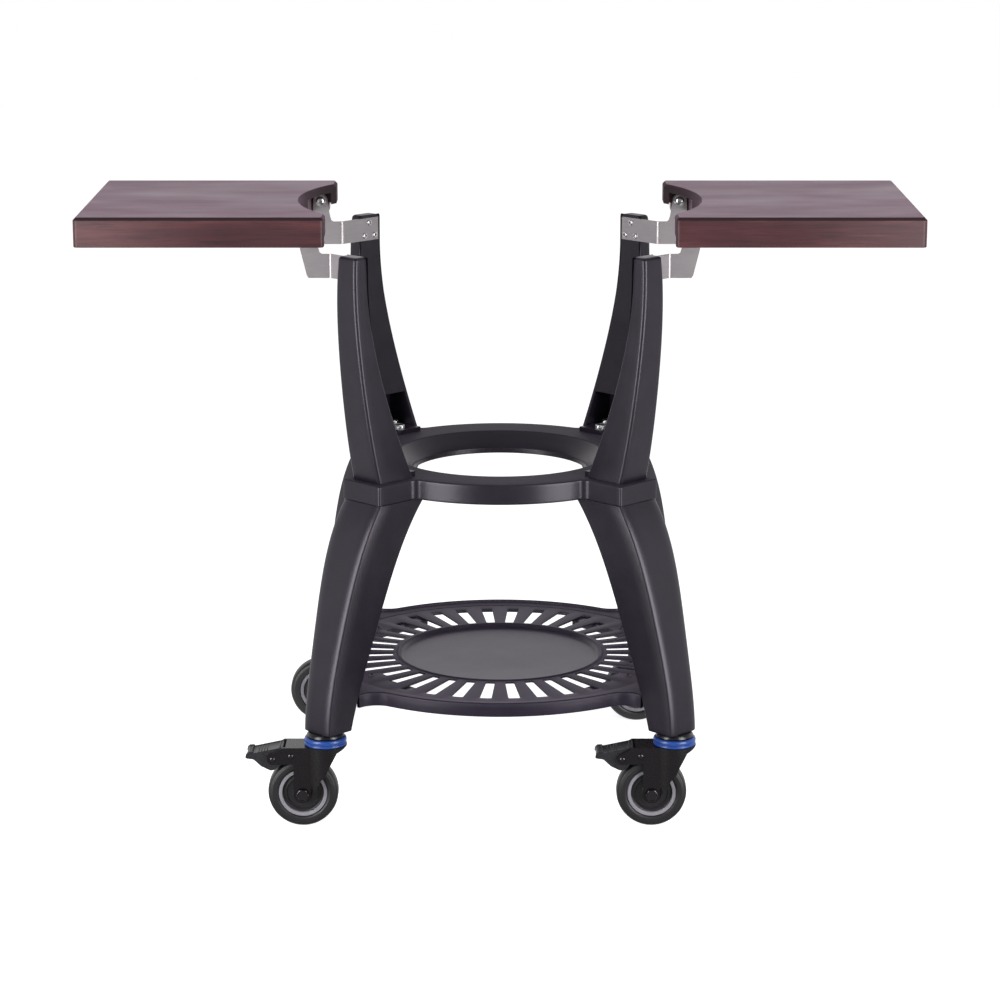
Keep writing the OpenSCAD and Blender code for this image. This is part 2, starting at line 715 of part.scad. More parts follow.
// Round-headed screw with a hexagon socket, shank going down
module socket_screw(r, length, head_r, head_h, key, depth) {
    difference() {
        union() {
            rotate_extrude() intersection() {
                translate([0, head_h - (head_r * head_r + head_h * head_h) / (2 * head_h)])
                    circle(r = (head_r * head_r + head_h * head_h) / (2 * head_h));
                square([head_r, head_h]);
            }
            translate([0, 0, -length]) cylinder(r = r, h = length + eps);
        }
        translate([0, 0, head_h - depth]) cylinder(r = key, h = head_h, $fn = 6);
    }
}

module shelf_screws() {
    color([0.2, 0.2, 0.2]) four_corners() shelf_screw_place() translate([0, 0, -step_h])
        socket_screw(screw_r, shelf_screw_l, screw_head_r, screw_head_h, screw_key, screw_key_h);
}

module bracket_screws() {
    color([0.75, 0.75, 0.76]) four_corners() bracket_screw_places() translate([0, 0, -bracket_t])
        mirror([0, 0, 1])
            socket_screw(screw_r, bracket_screw_l, screw_head_r, screw_head_h, screw_key, screw_key_h);
}

// Side board on the right: block, notch, bevels and grooves for its brackets
module side_board() {
    half = board_d / 2;
    b = board_bevel;
    c = board_corner;
    top = board_top_z;
    groove_r = sqrt(pow(hinge_z - arm_z, 2) + pow(plate_out, 2)) + groove_gap;
    roof = hinge_z + shoulder_out + groove_gap;
    head_y = plate_y - washer_t - pivot_head_h - slack - groove_side;
    color([0.36, 0.21, 0.2]) difference() {
        intersection() {
            translate([0, 0, board_low_z]) linear_extrude(height = board_t) union() {
                translate([board_x0 + c, -half]) square([board_l - 2 * c, board_d]);
                translate([board_x0, -half + c]) square([board_l, board_d - 2 * c]);
                for (x = [board_x0 + c, board_x1 - c], y = [-half + c, half - c]) circle_at(x, y, c);
            }
            side_prism([
                [board_x0, board_low_z], [board_x1, board_low_z], [board_x1, top - b],
                [board_x1 - b, top], [board_x0 + b, top], [board_x0, top - b]
            ], 2 * board_d);
            front_prism([
                [-half, board_low_z], [half, board_low_z], [half, top - b],
                [half - b, top], [-half + b, top], [-half, top - b]
            ], 2 * board_x1);
        }
        translate([0, 0, board_low_z - 1]) cylinder(r = notch_r, h = board_t + 2, $fn = 256);
        translate([0, 0, top - b]) cylinder(r1 = notch_r, r2 = notch_r + b, h = b + eps, $fn = 256);
        for (s = [-1, 1]) mirror([0, s < 0 ? 1 : 0, 0]) {
            // Slot in the underside for the bracket plate and the bolt's head
            translate([hinge_x - lobe_r - neck_slope - groove_gap, head_y, board_low_z - 1])
                cube([lobe_r + neck_slope + groove_gap + groove_r, plate_y1 + groove_side - head_y,
                    roof - board_low_z + 1]);
            // Opening from the notch to the bracket's rounded top
            translate([hinge_x - lobe_r - neck_slope - groove_gap, 0, board_low_z - 1])
                cube([2 * lobe_r + neck_slope + 2 * groove_gap, plate_y, roof - board_low_z + 1]);
            translate([hinge_x, 0, hinge_z]) rotate([-90, 0, 0])
                cylinder(r = insert_r + fit, h = plate_y1 + groove_side + insert_l);
            // Rebate under the ear
            translate([board_x0 - 1, 0, board_low_z - 1])
                cube([hinge_in - lobe_r - 1, half - (s < 0 ? rebate_stop : -1), rebate_h + 1]);
        }
    }
}

module board_inserts() {
    color([0.7, 0.6, 0.35]) for (s = [-1, 1]) mirror([0, s < 0 ? 1 : 0, 0])
        translate([hinge_x, plate_y1 + groove_side, hinge_z]) rotate([-90, 0, 0]) difference() {
            cylinder(r = insert_r, h = insert_l - slack);
            translate([0, 0, -1]) cylinder(r = pivot_r + fit, h = insert_l + 2);
        }
}

module pivot_bolts() {
    color([0.78, 0.78, 0.8]) for (s = [-1, 1]) mirror([0, s < 0 ? 1 : 0, 0])
        translate([hinge_x, plate_y - slack - washer_t, hinge_z]) rotate([90, 0, 0]) {
            socket_screw(pivot_r, washer_t + bracket_t + slack + groove_side + insert_l - 2,
                pivot_head_r, pivot_head_h, pivot_key, pivot_head_h / 2);
            mirror([0, 0, 1]) difference() {
                cylinder(r = washer_r, h = washer_t);
                translate([0, 0, -1]) cylinder(r = pivot_r + fit, h = washer_t + 2);
            }
        }
}

// Places a caster's pieces; every wheel trails towards -X
module caster_at(sx, sy) {
    translate([sx * stem_xy, sy * stem_xy, 0]) children();
}

// Round front with straight sides running back from it
module fork_blank(r, half, tail, h) {
    cylinder(r = r, h = h, $fn = 128);
    translate([-tail, -half, 0]) cube([tail, 2 * half, h]);
}

module fork_slab(points) {
    rotate([90, 0, 0]) linear_extrude(height = 4 * fork_out_y, center = true) polygon(points);
}

module fork_round(x, z, r) {
    translate([x, 0, z]) rotate([90, 0, 0]) cylinder(r = r, h = 4 * fork_out_y, center = true);
}

// Fork: folded plate round the swivel axis, arms to the axle, lugs for a pedal
module fork(braked) {
    tail = braked ? pedal_x + lug_r + 1 : trail + fork_end_r + 1;
    low = axle_z;
    top = fork_top_z;
    pin_z = axle_z + pedal_z;
    back_x = -trail - fork_end_r + 0.1;
    plate_end = -trail - 24;
    color([0.12, 0.12, 0.13]) difference() {
        intersection() {
            fork_blank(crown_r, fork_out_y, tail, top);
            union() {
                fork_slab([
                    [back_x, top + 2], [crown_r + 1, top + 2], [crown_r + 1, top - 1], [17, top - 7.5],
                    [6.5, top - 27], [2, top - 37.5], [-6.5, top - 48], [-13.5, low + 7],
                    [-trail + fork_end_r - 1.5, low - 2], [-trail, low - 6], [back_x + 3, low - 1],
                    [back_x, low + 1]
                ]);
                fork_round(-trail, low, fork_end_r);
                if (braked) {
                    fork_slab([
                        [back_x + 3, top + 1], [plate_end - 2, top + 1], [-pedal_x - 4, pin_z + lug_r - 2],
                        [-pedal_x, pin_z - lug_r + 0.2], [back_x + 3, pin_z - lug_r + 1]
                    ]);
                    fork_round(-pedal_x, pin_z, lug_r);
                }
            }
        }
        // Room for the wheel, open at the back
        translate([0, 0, -1]) fork_blank(crown_r - fork_t, fork_in_y, tail + 5, top - fork_t + 1);
        fork_round(-trail, axle_z, axle_r + fit);
        translate([0, 0, top - fork_t - 1]) cylinder(r = king_r + fit, h = fork_t + 2);
        // Room for the pedal behind the top plate
        if (braked) {
            translate([plate_end - tail, -fork_in_y, top - fork_t - 1])
                cube([tail, 2 * fork_in_y, fork_t + 2]);
            fork_round(-pedal_x, pin_z, pedal_pin_r + fit);
            fork_round(-stop_x, axle_z + stop_z, pedal_pin_r + fit);
        }
    }
}

module swivel_seal() {
    color([0.1, 0.2, 0.55]) translate([0, 0, fork_top_z]) difference() {
        union() {
            cylinder(r = seal_r, h = seal_h - 2, $fn = 128);
            translate([0, 0, seal_h - 2 - eps]) cylinder(r1 = seal_r, r2 = seal_r - 2, h = 2, $fn = 128);
        }
        translate([0, 0, -1]) cylinder(r = seal_in, h = seal_h + 2, $fn = 128);
    }
}

// Stem: cap and cup over the fork, threaded stem into the leg, king pin below
module caster_stems() {
    cup_z = fork_top_z + slack;
    color([0.14, 0.14, 0.15]) for (sx = [-1, 1], sy = [-1, 1]) caster_at(sx, sy) {
        translate([0, 0, cup_z]) cylinder(r = cup_r, h = foot_z - cup_z);
        translate([0, 0, foot_z - cap_h]) cylinder(r1 = cap_r, r2 = cup_r, h = cap_h);
        translate([0, 0, foot_z - eps]) cylinder(r = stem_r, h = stem_l);
        translate([0, 0, fork_top_z - fork_t - slack - king_head_h])
            cylinder(r = king_r, h = fork_t + 2 * slack + king_head_h + 1);
        translate([0, 0, fork_top_z - fork_t - slack - king_head_h])
            cylinder(r = king_head_r, h = king_head_h);
    }
}

module stem_sleeves() {
    color([0.6, 0.6, 0.6]) for (sx = [-1, 1], sy = [-1, 1]) caster_at(sx, sy)
        translate([0, 0, foot_z]) difference() {
            cylinder(r = sleeve_r, h = stem_l);
            translate([0, 0, -1]) cylinder(r = stem_r + fit, h = stem_l + 2);
        }
}

module on_axle() {
    translate([-trail, 0, axle_z]) rotate([90, 0, 0]) children();
}

module axle() {
    grip = 2 * fork_out_y;
    color([0.55, 0.55, 0.57]) on_axle() {
        translate([0, 0, -grip / 2 - axle_head_h - 2]) cylinder(r = axle_r, h = grip + axle_head_h + 3);
        for (z = [grip / 2, -grip / 2 - axle_head_h]) translate([0, 0, z])
            cylinder(r = axle_af / sqrt(3), h = axle_head_h, $fn = 6);
    }
}

module hub() {
    color([0.13, 0.13, 0.14]) on_axle() difference() {
        union() {
            cylinder(r = rim_in - fit, h = hub_w, center = true, $fn = 128);
            cylinder(r = boss_r, h = 2 * (fork_in_y - fork_gap), center = true);
            for (s = [-1, 1]) mirror([0, 0, s < 0 ? 1 : 0]) translate([0, 0, hub_w / 2 - eps])
                cylinder(r1 = boss_r + 7, r2 = boss_r + 3, h = 2.5);
        }
        cylinder(r = axle_r + 2 * fit, h = 4 * fork_in_y, center = true);
    }
}

module rim() {
    color([0.6, 0.6, 0.63]) on_axle() difference() {
        cylinder(r = rim_out - fit, h = rim_ring_w, center = true, $fn = 128);
        cylinder(r = rim_in, h = rim_ring_w + 2, center = true, $fn = 128);
    }
}

// Half of the tyre's section: bead, sidewall and rounded shoulder
module tyre_half() {
    half = tyre_w / 2;
    r = wheel_d / 2;
    round_r = 6;
    difference() {
        polygon([
            [rim_out, 0], [r, 0], [r, half], [rim_out + 3, half], [rim_out, rim_ring_w / 2]
        ]);
        difference() {
            translate([r - round_r, half - round_r]) square([round_r + 1, round_r + 1]);
            circle_at(r - round_r, half - round_r, round_r);
        }
    }
}

module tyre() {
    color([0.07, 0.07, 0.07]) on_axle() rotate_extrude($fn = 180) {
        tyre_half();
        mirror([0, 1]) tyre_half();
    }
}

// Pedal: sloping top with a ridged tip, side cheeks and the brake shoe
module pedal() {
    d = tan(pedal_droop);
    run = pedal_x - trail - 26.5;
    color([0.16, 0.16, 0.17]) translate([-pedal_x, 0, axle_z + pedal_z]) difference() {
        rotate([90, 0, 0]) linear_extrude(height = pedal_w, center = true) polygon([
            [run, pedal_top], [-pedal_tip + 9, pedal_top - (run + pedal_tip - 9) * d],
            [-pedal_tip + 8, pedal_top - (run + pedal_tip - 9) * d + 2.5],
            [-pedal_tip + 2, pedal_top - (run + pedal_tip - 2) * d + 3.5],
            [-pedal_tip, pedal_top - (run + pedal_tip) * d + 1.5],
            [-pedal_tip - 1, 1.5], [-pedal_tip + 10, 0], [-15.5, -10.4], [-3, -16.5],
            [2.2, -15.7], [8.5, -10.5], [9.5, 5], [run, pedal_top - 5]
        ]);
        rotate([90, 0, 0]) cylinder(r = pedal_pin_r + 2 * fit, h = 2 * pedal_w, center = true);
    }
}

// Pin across the fork, headed on both sides: the pedal's pivot or the stop beside it
module cross_pin(x, z) {
    color([0.5, 0.5, 0.52]) translate([-x, 0, axle_z + z]) rotate([90, 0, 0]) {
        cylinder(r = pedal_pin_r, h = 2 * fork_out_y, center = true);
        for (s = [-1, 1]) mirror([0, 0, s < 0 ? 1 : 0]) translate([0, 0, fork_out_y - eps])
            cylinder(r1 = pedal_pin_r + 1.7, r2 = pedal_pin_r + 0.7, h = 1.6);
    }
}

module pedal_pin() {
    cross_pin(pedal_x, pedal_z);
}

module stop_pin() {
    cross_pin(stop_x, stop_z);
}

cradle_ring();
corner(-1, -1) post();  // post_front_left
corner(1, -1) post();  // post_front_right
corner(-1, 1) post();  // post_back_left
corner(1, 1) post();  // post_back_right
corner(-1, -1) leg();  // leg_front_left
corner(1, -1) leg();  // leg_front_right
corner(-1, 1) leg();  // leg_back_left
corner(1, 1) leg();  // leg_back_right
lower_shelf();
quarter(-1, -1) bracket();  // bracket_front_left
quarter(1, -1) bracket();  // bracket_front_right
quarter(-1, 1) bracket();  // bracket_back_left
quarter(1, 1) bracket();  // bracket_back_right
post_bolts();
leg_bolts();
shelf_screws();
bracket_screws();
caster_stems();
stem_sleeves();
caster_at(-1, -1) fork(true);  // fork_front_left
caster_at(1, -1) fork(true);  // fork_front_right
caster_at(-1, 1) fork(false);  // fork_back_left
caster_at(1, 1) fork(false);  // fork_back_right
caster_at(-1, -1) swivel_seal();  // seal_front_left
caster_at(1, -1) swivel_seal();  // seal_front_right
caster_at(-1, 1) swivel_seal();  // seal_back_left
caster_at(1, 1) swivel_seal();  // seal_back_right
caster_at(-1, -1) axle();  // axle_front_left
caster_at(1, -1) axle();  // axle_front_right
caster_at(-1, 1) axle();  // axle_back_left
caster_at(1, 1) axle();  // axle_back_right
caster_at(-1, -1) hub();  // hub_front_left
caster_at(1, -1) hub();  // hub_front_right
caster_at(-1, 1) hub();  // hub_back_left
caster_at(1, 1) hub();  // hub_back_right
caster_at(-1, -1) rim();  // rim_front_left
caster_at(1, -1) rim();  // rim_front_right
caster_at(-1, 1) rim();  // rim_back_left
caster_at(1, 1) rim();  // rim_back_right
caster_at(-1, -1) tyre();  // tyre_front_left
caster_at(1, -1) tyre();  // tyre_front_right
caster_at(-1, 1) tyre();  // tyre_back_left
caster_at(1, 1) tyre();  // tyre_back_right
caster_at(-1, -1) pedal();  // pedal_front_left
caster_at(1, -1) pedal();  // pedal_front_right
caster_at(-1, -1) pedal_pin();  // pedal_pin_front_left
caster_at(1, -1) pedal_pin();  // pedal_pin_front_right
caster_at(-1, -1) stop_pin();  // stop_pin_front_left
caster_at(1, -1) stop_pin();  // stop_pin_front_right
mirror([1, 0, 0]) side_board();  // side_board_left
side_board();  // side_board_right
mirror([1, 0, 0]) pivot_bolts();  // pivot_bolts_left
pivot_bolts();  // pivot_bolts_right
mirror([1, 0, 0]) board_inserts();  // board_inserts_left
board_inserts();  // board_inserts_right
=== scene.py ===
import json
import math

import bmesh
import bpy
import numpy as np
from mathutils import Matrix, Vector


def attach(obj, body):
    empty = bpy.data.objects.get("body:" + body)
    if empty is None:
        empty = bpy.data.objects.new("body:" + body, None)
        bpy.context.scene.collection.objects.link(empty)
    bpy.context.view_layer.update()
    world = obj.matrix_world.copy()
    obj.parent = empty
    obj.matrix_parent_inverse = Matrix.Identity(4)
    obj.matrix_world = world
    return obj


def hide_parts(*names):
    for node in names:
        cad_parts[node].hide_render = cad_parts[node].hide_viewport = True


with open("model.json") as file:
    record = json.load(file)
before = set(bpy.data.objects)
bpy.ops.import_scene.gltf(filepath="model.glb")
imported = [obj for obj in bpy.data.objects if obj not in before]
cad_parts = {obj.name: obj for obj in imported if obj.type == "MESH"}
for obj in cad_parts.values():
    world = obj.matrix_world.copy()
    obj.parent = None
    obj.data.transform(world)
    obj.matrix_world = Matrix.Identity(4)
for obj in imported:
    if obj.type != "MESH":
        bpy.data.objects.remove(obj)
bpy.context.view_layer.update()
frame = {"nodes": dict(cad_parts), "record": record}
nodes = frame["nodes"]
bodies = frame["record"]["behaviour"]["bodies"]
BODY_OF = {node: body for body, names in bodies.items() for node in names}

# Sizes in millimetres, the solids' own apart from rounded edges and the thinner shelf.
# "Out" runs along the diagonal to a corner.

MM = 0.001
CORNERS = [("front_left", -1, -1), ("front_right", 1, -1), ("back_left", -1, 1), ("back_right", 1, 1)]
SIDES = [("left", -1), ("right", 1)]

# Cradle ring and its lobes
RING_TOP, RING_LOW, RING_R, RING_WALL, RING_PLATE = 488.0, 459.0, 211.0, 6.0, 8.0
SEAT_R, BORE_R, BORE_LIP = 155.0, 128.0, 8.0
LOBE_REACH, LOBE_HALF, LOBE_BLEND, LOBE_CORNER = 278.0, 38.0, 12.0, 3.0

# Posts. Each tuple holds five values at even heights: outer face, inner face and width.
POST_H, POST_EDGE, POST_CORNER, POST_BACK_CORNER = 324.0, 4.5, 5.0, 2.2
POST_OUT = (-10.0, 6.7, 18.0, 24.6, 22.5)
POST_IN = (76.0, 48.0, 24.5, 7.5, 0.0)
POST_W = (56.4, 51.6, 47.0, 42.2, 36.6)
BRACKET_FACE, BRACKET_FACE_LOW = 279.0, 766.0
POCKET_FLOOR, POCKET_ROOF, POCKET_WALL, POCKET_LIP, POCKET_BACK = 7.0, 57.0, 5.5, 11.0, 10.0

# Legs, with tuples as the posts'. The crown is how much wider than deep the outer corners are.
FOOT_Z = 138.0
LEG_H = RING_LOW - FOOT_Z
LEG_OUT = (92.3, 82.0, 63.8, 40.8, 0.0)
LEG_D = (45.8, 61.5, 71.3, 78.8, 88.0)
LEG_W = (54.0, 55.6, 63.0, 72.4, 76.0)
LEG_WALL, LEG_CAP, LEG_EDGE = 6.0, 14.0, 1.6
LEG_CORNER, LEG_CROWN, LEG_BACK_CORNER = 5.0, 3.4, 2.4
TONGUE_LOW, TONGUE_TOP, TONGUE_HALF, NECK_HALF = 170.3, 180.3, 52.0, 17.0
TONGUE_IN, TONGUE_BEND, TONGUE_NECK, TONGUE_END = 211.0, 236.0, 268.0, 300.0

# Lower shelf: its plate, rim, slots and dish
SHELF_Z, SHELF_R, SHELF_BLEND, ARM_HALF = 184.3, 279.0, 30.0, 26.0
RIM_W, RIM_TOP, RIM_LOW = 6.0, SHELF_Z + 3.7, SHELF_Z - 16.3
STEP_R, SLOT_TOP, SLOT_LOW = 256.0, SHELF_Z - 0.8, SHELF_Z - 3.4
SLOTS, SLOT_RING, SLOT_IN, SLOT_HALF, SLOT_CORNER = 36, (157.0, 257.0), 160.0, (6.5, 8.5), 2.5
SLOT_OUT, SLOT_OUT_AT_ARM, SLOT_OUT_AT_SCREW = 238.0, 221.0, 207.0
DISH_TOP, DISH_LOW, DISH_FLAT_R = SHELF_Z - 6, SHELF_Z - 8.4, 60.0

# Places of bolts and screws: out, across and, on the posts, height
POST_BOLTS = [(205, -12, RING_TOP + POCKET_FLOOR), (236, 4, RING_TOP + POCKET_FLOOR)]
SHELF_SCREW = [(221, -43, SLOT_TOP)]
BRACKET_SCREWS = [(276, -3, 801), (276, -12.5, 781.5), (276, 8, 781.5)]

# Casters: axle, stem, the fork's top and outer faces, and its two pins from the stem and the axle
AXLE_Z, TRAIL, STEM_XY, FORK_TOP, FORK_FACE = 50.0, 32.3, 248.27, 119.5, 22.5
PEDAL_PIN, STOP_PIN = (74.6, 52.4), (48.7, 57.0)

# Side boards, as on the right
BOARD_X0, BOARD_X1, BOARD_HALF, NOTCH_R, BOARD_CORNER = 244.52, 592.52, 197.0, 288.02, 6.0
BOARD_LOW, BOARD_TOP = 822.8, 864.8
HINGE_X, HINGE_Y, HINGE_Z = 268.62, 152.1, 839.5


# Shader maths

class Value:
    """An output of a node. Arithmetic on it adds Math nodes to its tree."""

    def __init__(self, web, socket):
        self.web = web
        self.socket = socket

    def _math(self, operation, *inputs):
        return self.web.add("ShaderNodeMath", {"operation": operation}, *inputs).out()

    def __add__(self, other):
        return self._math("ADD", self, other)

    def __mul__(self, other):
        return self._math("MULTIPLY", self, other)

    __radd__, __rmul__ = __add__, __mul__

    def __sub__(self, other):
        return self._math("SUBTRACT", self, other)

    def __rsub__(self, other):
        return self._math("SUBTRACT", other, self)

    def __truediv__(self, other):
        return self._math("DIVIDE", self, other)

    def __pow__(self, other):
        return self._math("POWER", self, other)

    def abs(self):
        return self._math("ABSOLUTE", self)

    def least(self, other):
        return self._math("MINIMUM", self, other)

    def most(self, other):
        return self._math("MAXIMUM", self, other)

    def above(self, edge, width):
        """0 below edge and 1 above edge + width, with a straight ramp between."""
        return ((self - edge) / width).least(1.0).most(0.0)

    def axis(self, which):
        """The X, Y or Z of this vector."""
        return self.web.add("ShaderNodeSeparateXYZ", None, self).out(which)


class Node:
    """A shader node whose outputs are read by name or number."""

    def __init__(self, web, node):
        self.web = web
        self.node = node

    def out(self, which=0):
        return Value(self.web, self.node.outputs[which])


class Web:
    """The node tree of a material or a world, emptied and built anew."""

    def __init__(self, owner):
        owner.use_nodes = True
        self.tree = owner.node_tree
        self.tree.nodes.clear()

    def add(self, kind, settings=None, *inputs, **named):
        """Adds a node. Settings come first, then the values or links of its sockets.

        Inputs go to the sockets in order, named ones by name, and None leaves one alone.
        """
        node = self.tree.nodes.new(kind)
        for key, value in (settings or {}).items():
            if key == "ramp":
                self._ramp(node.color_ramp, value)
            else:
                setattr(node, key, value)
        for index, value in enumerate(inputs):
            self.feed(node.inputs[index], value)
        for key, value in named.items():
            self.feed(node.inputs[key.replace("_", " ")], value)
        return Node(self, node)

    def feed(self, socket, value):
        """Sets a socket to a number or colour, or links an output to it."""
        if isinstance(value, Value):
            self.tree.links.new(value.socket, socket)
        elif isinstance(value, (tuple, list)) and socket.type == "RGBA":
            socket.default_value = (*value, 1.0)
        elif value is not None:
            socket.default_value = value

    def mixed(self, amount, first, second):
        """The first shader where amount is 0 and the second where it is 1."""
        return self.add("ShaderNodeMixShader", None, amount, first, second).out()

    def _ramp(self, ramp, stops):
        while len(ramp.elements) < len(stops):
            ramp.elements.new(0.5)
        for element, (position, colour) in zip(ramp.elements, stops):
            element.position = position
            element.color = (*colour, 1.0)


class Paint(Web):
    """One procedural material: a Principled BSDF and the nodes that feed it."""

    def __init__(self, name, **surface):
        self.material = bpy.data.materials.new(name)
        super().__init__(self.material)
        self.shader = self.add("ShaderNodeBsdfPrincipled", None, **surface)
        self.add("ShaderNodeOutputMaterial", None, self.shader.out())
        self.place = self.add("ShaderNodeTexCoord").out("Object")

    def vary(self, colour, roughness, normal):
        """Sets what changes over the surface, and gives back the finished material."""
        for key, value in (("Base Color", colour), ("Roughness", roughness), ("Normal", normal)):
            self.feed(self.shader.node.inputs[key], value)
        return self.material

    def stretched(self, x, y, z, shift=(0, 0, 0)):
        """The object's own coordinates, stretched and moved."""
        return self.add("ShaderNodeMapping", None, Vector=self.place, Location=shift, Scale=(x, y, z)).out()

    def noise(self, size, detail, rough, where=None, distortion=0.0):
        """Noise whose blots are about size metres across."""
        node = self.add("ShaderNodeTexNoise", None, Vector=where or self.place, Scale=1.0 / size,
                        Detail=detail, Roughness=rough, Distortion=distortion)
        return node.out("Fac")

    def colours(self, amount, *stops):
        """Colours along a ramp, for amounts from 0 to 1."""
        return self.add("ShaderNodeValToRGB", {"ramp": stops}, amount).out("Color")

    def blend(self, amount, low, high):
        """The colour low where amount is 0 and high where it is 1.

        Five sockets for numbers and vectors lie between the factor's and the colours'.
        """
        between = [None] * 5
        return self.add("ShaderNodeMix", {"data_type": "RGBA"}, amount, *between, low, high).out(2)

    def relief(self, height, depth, strength, over=None):
        """Bump of that depth in metres, for heights from 0 to 1."""
        node = self.add("ShaderNodeBump", None, Strength=strength, Distance=depth, Height=height,
                        Normal=over)
        return node.out("Normal")


# Finishes

def shade(tone, amount):
    """A tone made lighter or darker."""
    return tuple(c * amount for c in tone)


def cast_black(name, tone=(0.0068, 0.0055, 0.0095), rough=0.27, dull_above=None, dull=0.34, bloom=0.03):
    """Satin black powder coat on a casting: fine grain and soft waves.

    Faces above the height dull_above are rubbed dull, which adds dull to their roughness.
    Bloom is how strongly the coat turns violet at a flat angle.
    """
    p = Paint(name, Specular_IOR_Level=0.46, Specular_Tint=(0.97, 0.90, 1.0),
              Sheen_Weight=bloom, Sheen_Roughness=0.4, Sheen_Tint=(0.75, 0.45, 1.0))
    grain = p.noise(0.0011, 2.0, 0.6)
    wave = p.noise(0.035, 3.0, 0.5)
    gloss = rough + 0.08 * grain + 0.06 * wave
    if dull_above is not None:
        gloss = gloss + dull * p.place.axis("Z").above(dull_above * MM, 0.0012)
    return p.vary(colour=p.blend(wave.above(0.35, 0.4), tone, shade(tone, 1.35)), roughness=gloss,
                  normal=p.relief(grain, 0.00012, 0.55, over=p.relief(wave, 0.0006, 0.25)))


def board_wood(name):
    """Dark stained hardwood, satin, with grain along the board's length and a mottled sheen.

    The colour is darkened by painted shade on the top bevel, in the notch and on the inner ends, which are
    also made duller.
    """
    p = Paint(name, Specular_IOR_Level=0.31,
              Sheen_Weight=0.15, Sheen_Roughness=0.4, Sheen_Tint=(1.0, 0.5, 0.85))
    long_grain = p.noise(0.010, 5.0, 0.6, p.stretched(0.06, 1.0, 1.0), 0.6)
    streak = p.noise(0.022, 3.0, 0.55, p.stretched(0.10, 1.0, 1.0, (3.1, 0.4, 0.2)), 0.8)
    pores = p.noise(0.0022, 3.0, 0.65, p.stretched(0.035, 1.0, 1.0))
    blotch = p.noise(0.07, 3.0, 0.55, p.stretched(0.45, 1.0, 1.0))
    tone = p.colours(long_grain * 0.45 + streak * 0.45 + blotch * 0.2, (0.34, (0.022, 0.009, 0.011)),
                     (0.55, (0.048, 0.014, 0.017)), (0.76, (0.090, 0.029, 0.031)))
    pored = p.blend((1.0 - pores.above(0.36, 0.08)) * 0.55, tone, (0.018, 0.008, 0.010))
    x, y, z = (p.place.axis(k) for k in "XYZ")
    # Painted shade: the colour is darkened on the top bevel, the notch wall and the inner end faces.
    bevel = z.above((BOARD_TOP - 4.4) * MM, 0.0005) * (1.0 - z.above((BOARD_TOP - 0.7) * MM, 0.0004))
    notch = 1.0 - ((x * x + y * y) ** 0.5).above((NOTCH_R + 0.58) * MM, 0.0015)
    inner_end = 1.0 - x.abs().above((BOARD_X0 + 0.18) * MM, 0.0008)
    painted_shade = bevel.most(notch).most(inner_end)
    return p.vary(colour=p.blend(painted_shade * 0.9, pored, (0.008, 0.004, 0.005)),
                  roughness=0.30 + 0.08 * pores + 0.13 * blotch.above(0.3, 0.4) + 0.35 * painted_shade,
                  normal=p.relief(pores, 0.0003, 0.35, over=p.relief(long_grain, 0.0005, 0.2)))


def brushed_steel(name):
    """Bare sheet steel with fine rolled lines along its length and a few dull blots."""
    p = Paint(name, Metallic=1.0)
    lines = p.noise(0.0008, 2.0, 0.5, p.stretched(0.04, 0.04, 1.0))
    dull = p.noise(0.012, 3.0, 0.6)
    return p.vary(colour=p.blend(lines, (0.33, 0.305, 0.32), (0.43, 0.40, 0.415)),
                  roughness=0.34 + 0.06 * lines + 0.10 * dull, normal=p.relief(dull, 0.0001, 0.05))


def plated(name, tone=(0.72, 0.71, 0.72), rough=0.24):
    """Plated metal, slightly cloudy."""
    p = Paint(name, Metallic=1.0)
    cloud = p.noise(0.0025, 3.0, 0.6)
    return p.vary(colour=p.blend(cloud, shade(tone, 0.85), tone), roughness=rough + 0.12 * cloud,
                  normal=p.relief(cloud, 0.00005, 0.3))


def moulded(name, tone, rough, grain=0.0008, depth=0.00008, specular=0.5):
    """Moulded plastic, rubber or smooth paint: an even tone with a fine grain."""
    p = Paint(name, Specular_IOR_Level=specular)
    fine = p.noise(grain, 2.0, 0.6)
    broad = p.noise(0.02, 2.0, 0.5)
    return p.vary(colour=p.blend(broad, shade(tone, 0.85), shade(tone, 1.15)),
                  roughness=rough + 0.08 * fine, normal=p.relief(fine, depth, 0.6))


def speckled(name, dark, light, rough):
    """Grained plastic whose raised grain is worn lighter."""
    p = Paint(name)
    grain = p.noise(0.0014, 3.0, 0.7)
    return p.vary(colour=p.blend(grain.above(0.42, 0.2), dark, light), roughness=rough + 0.1 * grain,
                  normal=p.relief(grain, 0.0002, 0.7))


CAST = cast_black("cast_black")
ZINC = plated("bright_zinc")
STEEL = brushed_steel("bracket_steel")
BLACK_OXIDE = plated("black_oxide", (0.075, 0.068, 0.078), 0.18)

